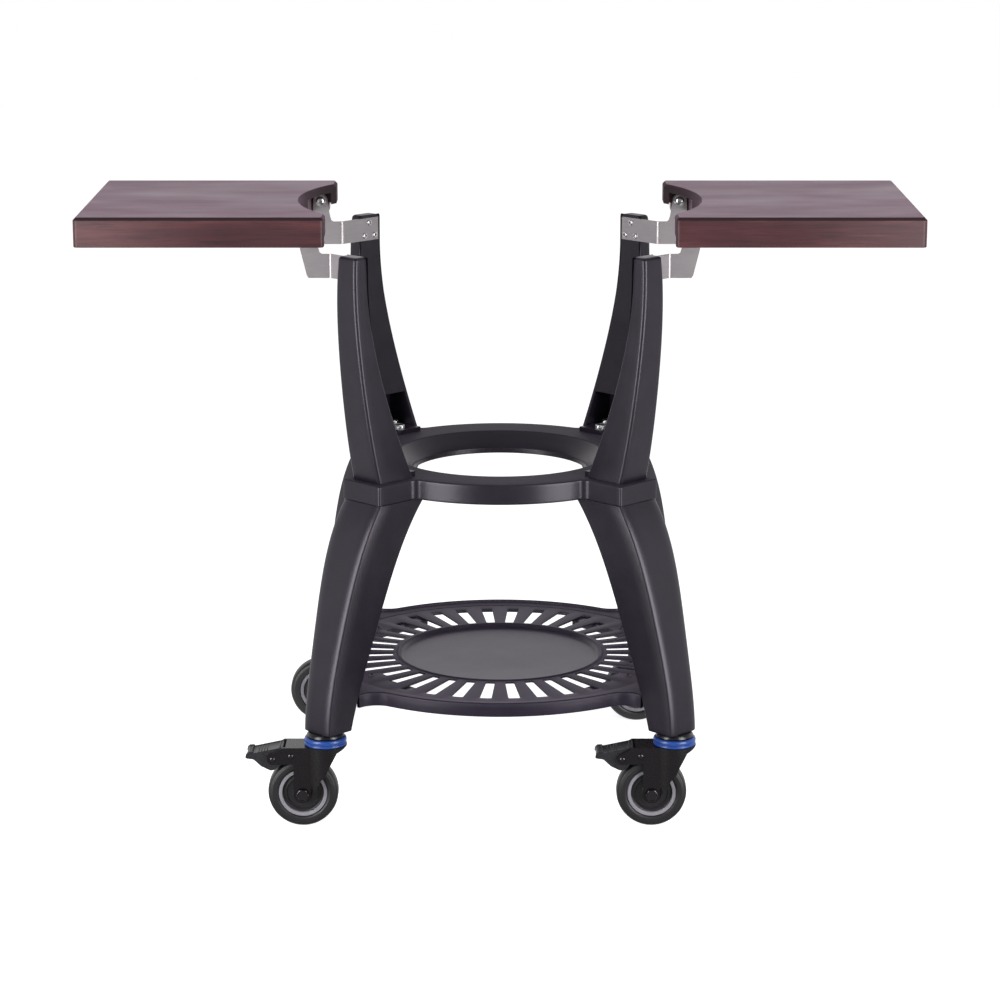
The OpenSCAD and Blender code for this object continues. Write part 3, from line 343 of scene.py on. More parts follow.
# The finish of each node whose name starts with the key. The longest key wins.
FINISH = {
    "cradle_ring": cast_black("ring_black", dull_above=RING_TOP - 1.8),
    "lower_shelf": cast_black("shelf_black", (0.0085, 0.0062, 0.0135), 0.29,
                              dull_above=SHELF_Z - 2.3, dull=0.17, bloom=0.06),
    "post_": CAST,
    "leg_": CAST,
    "side_board": board_wood("board_wood"),
    "bracket_": STEEL,
    "stem_sleeves": STEEL,
    "post_bolts": ZINC,
    "leg_bolts": ZINC,
    "bracket_screws": ZINC,
    "pivot_bolts": ZINC,
    "shelf_screws": moulded("dark_screw", (0.02, 0.02, 0.021), 0.35),
    "board_inserts": plated("insert_brass", (0.6, 0.45, 0.22), 0.3),
    "caster_stems": moulded("stem_black", (0.0045, 0.0038, 0.005), 0.2),
    "fork_": moulded("caster_steel", (0.0042, 0.0030, 0.0040), 0.23, specular=0.42),
    "seal_": moulded("seal_blue", (0.010, 0.043, 0.205), 0.26),
    "axle_": BLACK_OXIDE,
    "pedal_pin": BLACK_OXIDE,
    "stop_pin": BLACK_OXIDE,
    "hub_": moulded("hub_black", (0.008, 0.0065, 0.0085), 0.36),
    "rim_": moulded("rim_grey", (0.19, 0.18, 0.205), 0.45),
    "tyre_": moulded("tyre_rubber", (0.0085, 0.0072, 0.0088), 0.40, grain=0.0006, depth=0.00004),
    "pedal_": speckled("pedal_grain", (0.006, 0.005, 0.007), (0.022, 0.020, 0.025), 0.30),
}


def finish_for(node):
    """The finish whose key is the longest start of the node's name."""
    return FINISH[max((key for key in FINISH if node.startswith(key)), key=len)]


for node_name, node_object in nodes.items():
    for material_slot in node_object.material_slots:
        material_slot.material = finish_for(node_name)


def soften(node, width):
    """Rounds the sharp edges of a node that is shown as it is."""
    bevel = nodes[node].modifiers.new("soft_edges", "BEVEL")
    bevel.width = width * MM
    bevel.segments = 2
    bevel.limit_method = "ANGLE"
    bevel.angle_limit = math.radians(40)


# Surfaces and pieces

def bands(rows, close_rows=False):
    """Vertices and quads of a surface from rows of points, each row a closed loop.

    Neighbouring rows are joined by quads, and with close_rows the last row and the first.
    """
    rows = np.asarray(rows, float)
    count, around = rows.shape[:2]
    i, j = np.meshgrid(np.arange(count if close_rows else count - 1), np.arange(around), indexing="ij")
    k, n = (i + 1) % count, (j + 1) % around
    quads = np.stack([i * around + j, i * around + n, k * around + n, k * around + j], -1)
    return rows.reshape(-1, 3), quads.reshape(-1, 4).tolist()


def skin(rows, close_rows=False):
    """A closed surface: bands whose end rows, without close_rows, are filled by one face each."""
    points, faces = bands(rows, close_rows)
    if not close_rows:
        around = np.shape(rows)[1]
        faces.append(list(range(around - 1, -1, -1)))
        faces.append(list(range(len(points) - around, len(points))))
    return points, faces


def joined(*shells):
    """Several vertex and face lists as one."""
    points, faces, start = [], [], 0
    for p, f in shells:
        points.append(p)
        faces.extend([[v + start for v in face] for face in f])
        start += len(p)
    return np.concatenate(points), faces


def clean_mesh(name, shell):
    """The mesh of a shell in millimetres: doubles merged, slivers dissolved, normals outward."""
    points, faces = shell
    mesh = bpy.data.meshes.new(name)
    mesh.from_pydata((np.asarray(points) * MM).tolist(), [], faces)
    work = bmesh.new()
    work.from_mesh(mesh)
    bmesh.ops.remove_doubles(work, verts=work.verts, dist=2e-6)
    bmesh.ops.dissolve_degenerate(work, edges=work.edges, dist=1e-7)
    bmesh.ops.recalc_face_normals(work, faces=work.faces)
    work.to_mesh(mesh)
    work.free()
    return mesh


def placed(name, mesh):
    """An object for a mesh, in the scene."""
    made = bpy.data.objects.new(name, mesh)
    bpy.context.scene.collection.objects.link(made)
    return made


def piece(name, mesh, node, smooth=35.0):
    """The object that stands for a node, with the node's finish and body.

    Edges steeper than smooth degrees are sharp.
    """
    mesh.polygons.foreach_set("use_smooth", np.ones(len(mesh.polygons), bool))
    mesh.set_sharp_from_angle(angle=math.radians(smooth))
    mesh.materials.clear()
    mesh.materials.append(finish_for(node))
    made = placed(name, mesh)
    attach(made, BODY_OF[node])
    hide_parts(node)


def shell_piece(name, shell, node, smooth=35.0):
    """A piece made from a shell in millimetres."""
    piece(name, clean_mesh(name, shell), node, smooth)


def arc(cx, cy, r, start, end, count):
    """Points on a circle from start to end, in degrees."""
    a = np.radians(np.linspace(start, end, count))
    return np.stack([cx + r * np.cos(a), cy + r * np.sin(a)], -1)


def rounded(points, radii, count=5, closed=True):
    """The polygon with an arc of its own radius in each corner, less where an edge is short.

    Each arc touches the two edges r / tan(half the corner's angle) from the corner. Corners
    without a radius or nearly straight ones stay points.
    """
    points = np.asarray(points, float)
    size = len(points)
    radii = np.broadcast_to(radii, size)
    out = []
    for k in range(size):
        here, before, after = points[k], points[k - 1], points[(k + 1) % size]
        u, v = before - here, after - here
        lu, lv = np.linalg.norm(u), np.linalg.norm(v)
        u, v = u / lu, v / lv
        half = math.acos(max(-1.0, min(1.0, float(u @ v)))) / 2
        nearly_straight = half > 1.55
        at_end = not closed and k in (0, size - 1)
        if radii[k] <= 0 or at_end or nearly_straight:
            out.append(here[None])
            continue
        reach = min(radii[k] / math.tan(half), 0.48 * lu, 0.48 * lv)
        r = reach * math.tan(half)
        middle = here + (u + v) / np.linalg.norm(u + v) * r / math.sin(half)
        a, b = here + u * reach - middle, here + v * reach - middle
        start = math.atan2(a[1], a[0])
        turn = (math.atan2(b[1], b[0]) - start + math.pi) % (2 * math.pi) - math.pi
        angle = start + turn * np.linspace(0, 1, count + 1)
        out.append(middle + r * np.stack([np.cos(angle), np.sin(angle)], -1))
    return np.concatenate(out)


ROUND = 1e3


def turned(profile, flats=None, count=96):
    """Rows of a solid of revolution: x = r cos a, y = r sin a, z = h for profile points (r, h).

    Where flats holds a half width f, r is no more than f / cos(a folded into 60 degrees),
    which makes that row a hexagon or cuts it by one. ROUND is a flat out of reach.
    """
    profile = np.asarray(profile, float)
    a = np.linspace(0, 2 * math.pi, count, endpoint=False)
    folded = a % (math.pi / 3) - math.pi / 6
    flats = np.full(len(profile), ROUND) if flats is None else np.asarray(flats, float)
    r = np.minimum(profile[:, :1], flats[:, None] / np.cos(folded))
    return np.stack([r * np.cos(a), r * np.sin(a), np.repeat(profile[:, 1:], count, 1)], -1)


def moved(rows, x=0.0, y=0.0, z=0.0):
    """Rows moved by x, y and z."""
    return rows + np.array([x, y, z])


def laid(rows, x=0.0, y=0.0, z=0.0, way=1):
    """Rows with their axis turned from Z to Y (way 1) or -Y (way -1) and moved."""
    return np.stack([rows[..., 0] + x, rows[..., 2] * way + y, rows[..., 1] + z], -1)


def to_corner(points, sx, sy):
    """Local points, X along the diagonal, brought to one of the four corners."""
    x, y, z = np.moveaxis(np.asarray(points, float), -1, 0)
    c = math.sqrt(0.5)
    return np.stack([sx * (x - y) * c, sy * (x + y) * c, z], -1)


def spun(points, angle):
    """Points in a plan or in space, turned about Z by an angle in degrees."""
    c, s = math.cos(math.radians(angle)), math.sin(math.radians(angle))
    turn = np.eye(points.shape[-1])
    turn[:2, :2] = (c, s), (-s, c)
    return points @ turn


# A plan times this is its mirror image across Y = 0.
MIRROR = np.array([1.0, -1.0])


def level(loop, z):
    """A plan's loop of points at one height."""
    return np.column_stack([loop, np.full(len(loop), z)])


def circle_row(angle, r, z):
    """A circle at one height, with its points at the given angles."""
    return level(np.stack([r * np.cos(angle), r * np.sin(angle)], -1), z)


def at_heights(plans, z):
    """Rows from a stack of plan outlines, one for each height in z."""
    return np.concatenate([plans, np.repeat(z[:, None, None], plans.shape[1], 1)], -1)


def curve5(values, t):
    """The quartic through five evenly spaced values, at t from 0 to 1."""
    u = 4 * np.asarray(t, float)
    a, b, c, d, e = values
    return (a * (u - 1) * (u - 2) * (u - 3) * (u - 4) / 24 - b * u * (u - 2) * (u - 3) * (u - 4) / 6
            + c * u * (u - 1) * (u - 3) * (u - 4) / 4 - d * u * (u - 1) * (u - 2) * (u - 4) / 6
            + e * u * (u - 1) * (u - 2) * (u - 3) / 24)


def round_inset(beyond, edge):
    """How far a quarter circle of radius edge draws a face in, at a distance beyond its start."""
    return np.where(beyond > 0, edge - np.sqrt(np.maximum(edge ** 2 - beyond ** 2, 0)), 0.0)


def edge_normals(outline):
    """Outward normals of a closed outline that runs anticlockwise, averaged at each point."""
    ahead = np.roll(outline, -1, 0) - outline
    ahead /= np.maximum(np.linalg.norm(ahead, axis=1, keepdims=True), 1e-9)
    mean = ahead + np.roll(ahead, 1, 0)
    mean /= np.maximum(np.linalg.norm(mean, axis=1, keepdims=True), 1e-9)
    spread = np.maximum((ahead * mean).sum(1, keepdims=True), 0.4)
    return np.stack([mean[:, 1], -mean[:, 0]], -1) / spread


def drawn_in(outline, steps):
    """Rows of an outline: each step (inset, z) moves it in along its normals, at height z."""
    normals = edge_normals(outline)
    return np.stack([level(outline - normals * inset, z) for inset, z in steps])


def plate_rows(outline, low, high, edge):
    """Rows of a flat plate, rounded by quarter circles of radius edge at both rims."""
    quarter = np.linspace(0, math.pi / 2, 4)
    steps = [(edge - edge * math.sin(v), low + edge - edge * math.cos(v)) for v in quarter]
    steps += [(edge - edge * math.cos(v), high - edge + edge * math.sin(v)) for v in quarter]
    return drawn_in(outline, steps)


# Castings

def bar_section(inner, outer, half, notch, notch_half, r_out, r_in, crown=1.0):
    """Closed outlines of a bar seen from above, one for each value of its arrays.

    A rectangle from inner to outer along the diagonal and half to each side, with round
    corners r_out and r_in, and a slot from the inner face to the depth notch. The outer
    corners are ellipses r_out deep and r_out * crown across.
    """
    def turn(cx, cy, r, start, end, across=1.0):
        a = np.radians(np.linspace(start, end, 9))
        return [np.stack([cx + r * math.cos(v), cy + r * across * math.sin(v)], -1) for v in a]

    def at(x, y):
        return np.stack([x, y], -1)

    upper = [at(outer, 0 * half)]
    upper += [at(outer, (half - r_out * crown) * f) for f in (0.35, 0.7)]
    upper += turn(outer - r_out, half - r_out * crown, r_out, 0, 90, across=crown)
    upper += [at(outer - r_out + (inner + r_in - outer + r_out) * f, half) for f in (0.3, 0.65)]
    upper += turn(inner + r_in, half - r_in, r_in, 90, 180)
    upper += [at(inner, notch_half + 0 * half), at(notch, notch_half + 0 * half)]
    lower = [p * MIRROR for p in upper[:0:-1]]
    return np.stack(upper + lower, 1)


def post_rows():
    """Rows of a post from its foot to its top.

    Its faces and its width are quartics of the height, and its top edge is drawn in by a
    quarter circle. The pocket is a slot whose depth steps at its floor and its roof, each
    of which is a doubled row.
    """
    sill, pocket, shaft = range(3)
    floor, roof, top = RING_TOP + POCKET_FLOOR, RING_TOP + POCKET_ROOF, RING_TOP + POST_H
    quarter = np.linspace(0, math.pi / 2, 8)
    levels = [(RING_TOP, sill), (floor, sill), (floor, pocket), (floor + 0.5, pocket)]
    levels += [(z, pocket) for z in np.linspace(floor + 8, roof - 8, 5)] + [(roof, pocket), (roof, shaft)]
    levels += [(z, shaft) for z in np.linspace(roof + 6, top - POST_EDGE - 2, 44)]
    levels += [(z, shaft) for z in top - POST_EDGE + POST_EDGE * np.sin(quarter)]
    z, kind = np.array(levels, float).T
    inset = round_inset(z - top + POST_EDGE, POST_EDGE)
    t = (z - RING_TOP) / POST_H
    t_in = np.minimum((z - RING_TOP) / (BRACKET_FACE_LOW - RING_TOP), 1.0)
    outer = LOBE_REACH + curve5(POST_OUT, t) - inset
    inner = BRACKET_FACE - curve5(POST_IN, t_in) + 0.45 * inset
    half = curve5(POST_W, t) / 2 - inset
    pocket_half = float(curve5(POST_W, POCKET_ROOF / POST_H) / 2) - POCKET_WALL
    lip = BRACKET_FACE - POST_IN[0] - POCKET_LIP
    back = LOBE_REACH + POST_OUT[0] - POCKET_BACK
    notch = np.where(kind == sill, lip, np.where(kind == pocket, back, inner))
    return at_heights(bar_section(inner, outer, half, notch, pocket_half, POST_CORNER - 0.6 * inset,
                                  POST_BACK_CORNER - 0.2 * inset), z)


def leg_rows():
    """Rows of a leg from its foot to its top, made as the post is.

    It is a channel, open inside, between the foot block and the cap under the ring.
    """
    solid, channel = range(2)
    low, high = SHELF_Z, RING_LOW - LEG_CAP
    quarter = np.linspace(0, math.pi / 2, 5)
    levels = [(z, solid) for z in FOOT_Z + LEG_EDGE - LEG_EDGE * np.cos(quarter)]
    levels += [(z, solid) for z in np.linspace(FOOT_Z + 6, low - 3, 6)] + [(low, solid), (low, channel)]
    levels += [(z, channel) for z in np.linspace(low + 6, high - 6, 34)]
    levels += [(high, channel), (high, solid), (RING_LOW, solid)]
    z, kind = np.array(levels, float).T
    inset = round_inset(FOOT_Z + LEG_EDGE - z, LEG_EDGE)
    t = (z - FOOT_Z) / LEG_H
    outer = LOBE_REACH + curve5(LEG_OUT, t)
    inner = outer - curve5(LEG_D, t) + inset
    half = curve5(LEG_W, t) / 2 - inset
    outer = outer - inset
    notch = np.where(kind == channel, outer - LEG_WALL, inner)
    return at_heights(bar_section(inner, outer, half, notch, half - LEG_WALL, LEG_CORNER - inset,
                                  LEG_BACK_CORNER - inset, LEG_CROWN), z)


def tongue_rows():
    """The leg's tongue under the shelf: a plate with a wide inner end, necked inside the shelf's arm."""
    side = [(TONGUE_IN, -TONGUE_HALF), (TONGUE_BEND, -TONGUE_HALF), (TONGUE_NECK, -NECK_HALF),
            (TONGUE_END, -NECK_HALF)]
    outline = np.array(side + [(x, -y) for x, y in side[::-1]])
    return plate_rows(outline, TONGUE_LOW, TONGUE_TOP, 1.0)


def lobed_outline(r, half, reach, blend, corner, inset):
    """A circle with four arms on the diagonals and concave blends, drawn in by inset.

    Each eighth runs from an arm's middle: end face, corner arc, side, blend arc, circle arc.
    """
    side = half + blend
    mid = math.sqrt((r + blend) ** 2 - side ** 2)
    lean = math.degrees(math.atan2(side, mid))
    rc, x, y = max(corner - inset, 0.2), reach - inset, half - inset
    end_face = np.stack([np.full(6, x), np.linspace(0, y - rc, 6, endpoint=False)], -1)
    run = np.linspace(x - rc, mid, 10)[1:-1]
    eighth = np.concatenate([end_face, arc(x - rc, y - rc, rc, 0, 90, 6),
                             np.stack([run, np.full(8, y)], -1),
                             arc(mid, side, blend + inset, -90, -180 + lean, 12),
                             arc(0, 0, r - inset, lean, 45, 26)[1:]])
    other_eighth = eighth[:0:-1] * MIRROR
    quarter = np.concatenate([other_eighth[1:], eighth])
    return np.concatenate([spun(quarter, angle) for angle in (45, 135, 225, 315)])


def ring_rows():
    """Rows round the cradle ring's section: skirt, rounded rim, flat top, seat, hole and underside.

    The outer rows follow the lobed outline, the inner ones are circles with its angles, and
    the rows of the flat top blend from one to the other.
    """
    def lobed(inset, z):
        return level(lobed_outline(RING_R, LOBE_HALF, LOBE_REACH, LOBE_BLEND, LOBE_CORNER, inset), z)

    outline = lobed(0.0, 0.0)
    angle = np.arctan2(outline[:, 1], outline[:, 0])

    def circle(r, z):
        return circle_row(angle, r, z)

    edge, low_edge, seat_edge = 3.0, 1.8, 3.0
    quarter = np.linspace(0, math.pi / 2, 7)
    rows = [lobed(low_edge * (1 - math.sin(v)), RING_LOW + low_edge * (1 - math.cos(v))) for v in quarter]
    rows += [lobed(0, z) for z in np.linspace(RING_LOW + 4, RING_TOP - edge - 1.5, 5)]
    rows += [lobed(edge * (1 - math.cos(v)), RING_TOP - edge + edge * math.sin(v)) for v in quarter]
    rim, seat_start = lobed(edge, RING_TOP), circle(SEAT_R + 1.4, RING_TOP)
    rows += [rim * (1 - f) + seat_start * f for f in (0.25, 0.5, 0.75, 0.95, 1.0)]

    seat_end = RING_LOW + BORE_LIP
    slope = math.atan2(RING_TOP - seat_end, SEAT_R - BORE_R)
    start = SEAT_R + seat_edge * math.tan(slope / 2)
    rows += [circle(start - seat_edge * math.sin(v), RING_TOP - seat_edge * (1 - math.cos(v)))
             for v in np.linspace(0, slope, 5)]
    rows += [circle(SEAT_R + (BORE_R - SEAT_R) * f, RING_TOP + (seat_end - RING_TOP) * f)
             for f in (0.3, 0.6, 0.94)]

    lip, plate, wall = BORE_R + BORE_LIP, RING_TOP - RING_PLATE, RING_R - RING_WALL
    inside = [(BORE_R + 0.3, seat_end - 0.6), (BORE_R, seat_end - 1.6), (BORE_R, RING_LOW + 0.6),
              (BORE_R + 0.6, RING_LOW), (lip - 0.6, RING_LOW), (lip, RING_LOW + 0.6), (lip, seat_end),
              (SEAT_R + 4, plate), (wall, plate), (wall, RING_LOW + 0.5), (wall + 0.5, RING_LOW)]
    return np.stack(rows + [circle(r, z) for r, z in inside])


shell_piece("cradle_ring_casting", skin(ring_rows(), close_rows=True), "cradle_ring")
POST, LEG, TONGUE = post_rows(), leg_rows(), tongue_rows()
for corner_name, sx, sy in CORNERS:
    post_shell = skin(to_corner(POST, sx, sy))
    leg_shell = joined(skin(to_corner(LEG, sx, sy)), skin(to_corner(TONGUE, sx, sy)))
    shell_piece("post_casting_" + corner_name, post_shell, "post_" + corner_name)
    shell_piece("leg_casting_" + corner_name, leg_shell, "leg_" + corner_name)


# Lower shelf

# A slot sits in a cell. Both outlines have CELL_ARC points along each end and CELL_SIDE along each side.
CELL_ARC, CELL_SIDE = 8, 14
SHELF_COUNT = SLOTS * CELL_ARC
HALF_CELL = 180.0 / SLOTS
# An arm ends just short of its leg's inner face, at the height of the rim.
ARM_GAP, RIM_T = 0.3, (RIM_TOP - FOOT_Z) / LEG_H
ARM_END = float(LOBE_REACH + curve5(LEG_OUT, RIM_T) - curve5(LEG_D, RIM_T)) - ARM_GAP


def slot_cell():
    """The outer loop of one cell: arcs on the two circles of SLOT_RING and two radial sides."""
    (r0, r1), lean = SLOT_RING, math.radians(HALF_CELL)
    out_arc = arc(0, 0, r1, -HALF_CELL, HALF_CELL, CELL_ARC + 1)[:-1]
    in_arc = arc(0, 0, r0, HALF_CELL, -HALF_CELL, CELL_ARC + 1)[:-1]
    down = np.linspace(r1, r0, CELL_SIDE + 1)[:-1, None] * np.array([math.cos(lean), math.sin(lean)])
    up = np.linspace(r0, r1, CELL_SIDE + 1)[:-1, None] * np.array([math.cos(lean), -math.sin(lean)])
    return np.concatenate([out_arc, down, in_arc, up])


def slot_loop(reach, grow):
    """The outline of a slot that ends at reach, a taper with four round corners, grown by grow."""
    low, high = SLOT_IN - grow, reach + grow
    half_in, half_out = SLOT_HALF[0] + grow, SLOT_HALF[1] + grow
    r = SLOT_CORNER + grow
    turn = np.radians(np.linspace(0, 90, CELL_ARC // 2 + 1))
    end_up = np.stack([high - r + r * np.cos(turn), half_out - r + r * np.sin(turn)], -1)
    end_low = (end_up * MIRROR)[::-1][:-1]
    start_up = np.stack([low + r - r * np.sin(turn), half_in - r + r * np.cos(turn)], -1)
    start_low = (start_up * MIRROR)[::-1][:-1]
    f = np.linspace(0, 1, CELL_SIDE + 2)[1:-1, None]
    top_side = end_up[-1] * (1 - f) + start_up[0] * f
    low_side = start_low[-1] * (1 - f) + end_low[0] * f
    return np.concatenate([end_low, end_up, top_side[:-1], start_up, start_low[1:], low_side])


def slotted_ring():
    """Top, underside and slot walls, cell by cell: rows from the cell's loop down through its slot.

    The slot in line with an arm is shorter, and so is the one that ends at a shelf screw.
    """
    walls = [(1.0, SLOT_TOP), (0.5, SLOT_TOP - 0.15), (0.15, SLOT_TOP - 0.5), (0.0, SLOT_TOP - 1.0),
             (0.0, SLOT_LOW + 0.3), (0.3, SLOT_LOW)]
    shells = []
    cell = slot_cell()
    for k in range(SLOTS):
        quarter, place = divmod(k, SLOTS // 4)
        at_arm, at_screw = place == 4, place == (3 if quarter % 2 == 0 else 5)
        reach = SLOT_OUT_AT_ARM if at_arm else SLOT_OUT_AT_SCREW if at_screw else SLOT_OUT
        rows = [level(cell, SLOT_TOP)] + [level(slot_loop(reach, grow), z) for grow, z in walls]
        rows.append(level(cell, SLOT_LOW))
        shells.append(bands(spun(np.stack(rows), HALF_CELL * (2 * k + 1))))
    return joined(*shells)


def centre_disc(z):
    """The flat middle of the dish at a height, as circles down to one small face."""
    points, faces = bands(turned([(r, z) for r in (DISH_FLAT_R, 35, 15, 4)], count=SHELF_COUNT))
    faces.append(list(range(len(points) - SHELF_COUNT, len(points))))
    return points, faces


def shelf_dish():
    """The recess inside the slots, with a rounded lip, and the dish's sloping underside.

    Both are profiles (r, z) turned about the shelf's axis.
    """
    lip = [(SLOT_RING[0], SLOT_TOP), (155.2, SLOT_TOP), (152.6, SLOT_TOP + 1.5), (150.2, SLOT_TOP + 1.5),
           (146, DISH_TOP), (DISH_FLAT_R, DISH_TOP)]
    under = [(DISH_FLAT_R, DISH_LOW), (140, DISH_LOW), (153.5, SLOT_LOW), (SLOT_RING[0], SLOT_LOW)]
    lip = rounded(lip, [0, 1.2, 1.6, 1.8, 3.0, 0], 5, closed=False)
    under = rounded(under, [0, 3.0, 1.0, 0], 4, closed=False)
    return joined(bands(turned(lip, count=SHELF_COUNT)), bands(turned(under, count=SHELF_COUNT)),
                  centre_disc(DISH_TOP), centre_disc(DISH_LOW))


def shelf_arms():
    """The plate outside the slots: rows from the step's circle to the rim, which has the four arms."""
    low, into_rim = SHELF_Z - 3.8, RIM_W - 1.0
    outline = lobed_outline(SHELF_R, ARM_HALF, ARM_END + into_rim, SHELF_BLEND, 0.5, into_rim)
    angle = np.arctan2(outline[:, 1], outline[:, 0])
    step = [(STEP_R - 0.6, SHELF_Z - 1.6), (STEP_R - 0.2, SHELF_Z - 0.9), (STEP_R + 0.2, SHELF_Z - 0.15),
            (STEP_R + 0.7, SHELF_Z)]
    under = [(STEP_R + 0.7, low), (STEP_R - 0.6, low + 0.6)]
    rows = [circle_row(angle, r, z) for r, z in step] + [level(outline, SHELF_Z), level(outline, low)]
    rows += [circle_row(angle, r, z) for r, z in under]
    return skin(np.stack(rows), close_rows=True)


def shelf_rim():
    """Four lengths of rim, each a rounded section carried from arm to arm along the shelf's edge.

    A row is the section (inset, z) at one point of the edge: the point less its normal times
    the inset, at height z.
    """
    section = [(0, RIM_LOW), (0, RIM_TOP), (RIM_W, RIM_TOP), (RIM_W, RIM_LOW)]
    section = rounded(section, [1.2, 2.8, 2.2, 1.2], 5)
    outline = lobed_outline(SHELF_R, ARM_HALF, ARM_END, SHELF_BLEND, 0.0, 0.0)
    normals = edge_normals(outline)
    on_end_face = np.abs(np.abs(outline).sum(1) - ARM_END * math.sqrt(2)) < 0.05
    starts = np.flatnonzero(on_end_face & ~np.roll(on_end_face, -1))
    ends = np.flatnonzero(on_end_face & ~np.roll(on_end_face, 1))
    shells = []
    for start in starts:
        length = np.min((ends - start) % len(outline))
        run = (start + np.arange(length + 1)) % len(outline)
        out = normals[run]
        out[0], out[-1] = out[1], out[-2]
        plan = outline[run][:, None] - out[:, None] * section[:, :1]
        heights = np.broadcast_to(section[:, 1:], (*plan.shape[:2], 1))
        shells.append(skin(np.concatenate([plan, heights], -1)))
    return joined(*shells)


shell_piece("shelf_casting", joined(slotted_ring(), shelf_dish(), shelf_arms(), shelf_rim()),
            "lower_shelf", 30.0)


# Screws and bolts. Each is turned about Z, with its seat at Z = 0 and its shank below.

def hex_bolt(length, r=5.0, across=16.0, high=6.4, dish=0.5):
    """Hexagon-headed bolt, across wide over its flats: a chamfered head with a shallow dished face."""
    f = across / 2
    shank = [(0.4, -length), (r - 0.8, -length), (r, -length + 0.8), (r, 0)]
    head = [(f * 0.98, 0), (1.2 * f, 0.3), (1.2 * f, high - 1.3), (f * 1.08, high - 0.75), (f, high - 0.25),
            (f * 0.94, high)]
    face = [(f * 0.86, high), (f * 0.80, high - dish), (0.4, high - dish)]
    return turned(shank + head + face, [ROUND] * len(shank) + [f] * len(head) + [ROUND] * len(face))


def button_screw(length, r, head_r, high, key):
    """Round-headed screw: a low dome with a flat middle and a hexagon socket, key in half width."""
    shank = [(0.3, -length), (r - 0.5, -length), (r, -length + 0.5), (r, 0), (head_r, 0)]
    dome = [(head_r * math.cos(v), high * (0.12 + 0.88 * math.sin(v))) for v in np.linspace(0, 1.05, 7)]
    flat = dome[-1][1]
    profile = shank + dome + [(key + 0.5, flat), (key * 1.25, flat - 0.2), (key * 1.2, -0.4), (0.2, -0.4)]
    flats = [ROUND] * (len(profile) - 3) + [key * 0.92, key * 0.866, ROUND]
    return turned(profile, flats, 72)


def at_corner_places(rows, places, inward=False):
    """Copies of a screw at places (out, across, z) of all four corners, its head up or inward."""
    shells = []
    for _, sx, sy in CORNERS:
        for out, across, z in places:
            if inward:
                local = np.stack([out - rows[..., 2], across + rows[..., 0], z + rows[..., 1]], -1)
            else:
                local = moved(rows, out, across, z)
            shells.append(skin(to_corner(local, sx, sy)))
    return joined(*shells)


def pivot_bolts(sx):
    """The two pivot bolts of a board with their washers, heads towards the ring's middle line."""
    screw = button_screw(26.9, r=4.0, head_r=7.0, high=4.5, key=3.0)
    washer = turned(rounded([(4.06, -1.6), (8.6, -1.6), (8.6, 0), (4.06, 0)], [0.2, 0.4, 0.4, 0.2], 3))
    shells = []
    for sy in (-1, 1):
        shells.append(skin(laid(screw, sx * HINGE_X, sy * HINGE_Y, HINGE_Z, -sy)))
        shells.append(skin(laid(washer, sx * HINGE_X, sy * HINGE_Y, HINGE_Z, -sy), close_rows=True))
    return joined(*shells)


SHELF_SCREW_ROWS = button_screw(12.0, r=2.5, head_r=4.4, high=2.6, key=2.0)
BRACKET_SCREW_ROWS = button_screw(15.0, r=3.1, head_r=4.4, high=2.4, key=2.2)
shell_piece("post_bolt_set", at_corner_places(hex_bolt(25.0), POST_BOLTS), "post_bolts")
shell_piece("shelf_screw_set", at_corner_places(SHELF_SCREW_ROWS, SHELF_SCREW), "shelf_screws")
shell_piece("bracket_screw_set", at_corner_places(BRACKET_SCREW_ROWS, BRACKET_SCREWS, inward=True),
            "bracket_screws")
for side_name, sx in SIDES:
    shell_piece("pivot_bolt_set_" + side_name, pivot_bolts(sx), "pivot_bolts_" + side_name)


# Casters

# Upper halves of wheel profiles, from the tread inward: radius, height over the middle, corner radius.
TYRE_HALF = [(50.0, 6.0, 5.0), (48.9, 11.6, 4.0), (46.4, 14.6, 2.5), (43.6, 15.3, 0.6), (43.1, 15.9, 0.5),
             (38.2, 15.9, 1.6), (35.9, 15.1, 1.2), (34.75, 13.2, 0.6)]
RIM_HALF = [(34.62, 13.5, 0.5), (29.42, 13.5, 0.9)]
HUB_HALF = [(29.3, 10.2, 0.4), (27.6, 9.0, 0.8), (24.6, 9.2, 0.6), (24.0, 10.3, 0.5), (23.0, 10.3, 0.5),
            (22.4, 9.4, 0.6), (13.4, 9.4, 1.0), (12.4, 12.4, 1.0), (10.2, 12.4, 0.3), (10.0, 18.5, 0.5),
            (5.15, 18.5, 0.3)]


def wheel_rows(half):
    """Rows of a wheel part: its upper half profile, mirrored about h = 0, rounded and turned."""
    half = np.asarray(half, float)
    whole = np.concatenate([half, half[::-1] * np.array([1.0, -1.0, 1.0])])
    return turned(rounded(whole[:, :2], whole[:, 2], 5), count=144)


def seal_rows():
    """Blue swivel seal: a rolled lower lip, a groove and a rounded upper band, turned."""
    profile = [(25.1, 0.2), (29.4, 0.2), (30.2, 1.4), (29.9, 3.2), (28.7, 4.2), (30.0, 5.4), (30.2, 8.2),
               (29.2, 10.6), (27.2, 11.4), (25.1, 11.2)]
    radii = [0.4, 0.8, 0.8, 0.6, 0.6, 0.9, 1.2, 1.0, 0.8, 0.4]
    return moved(turned(rounded(profile, radii, 4), count=128), z=FORK_TOP)


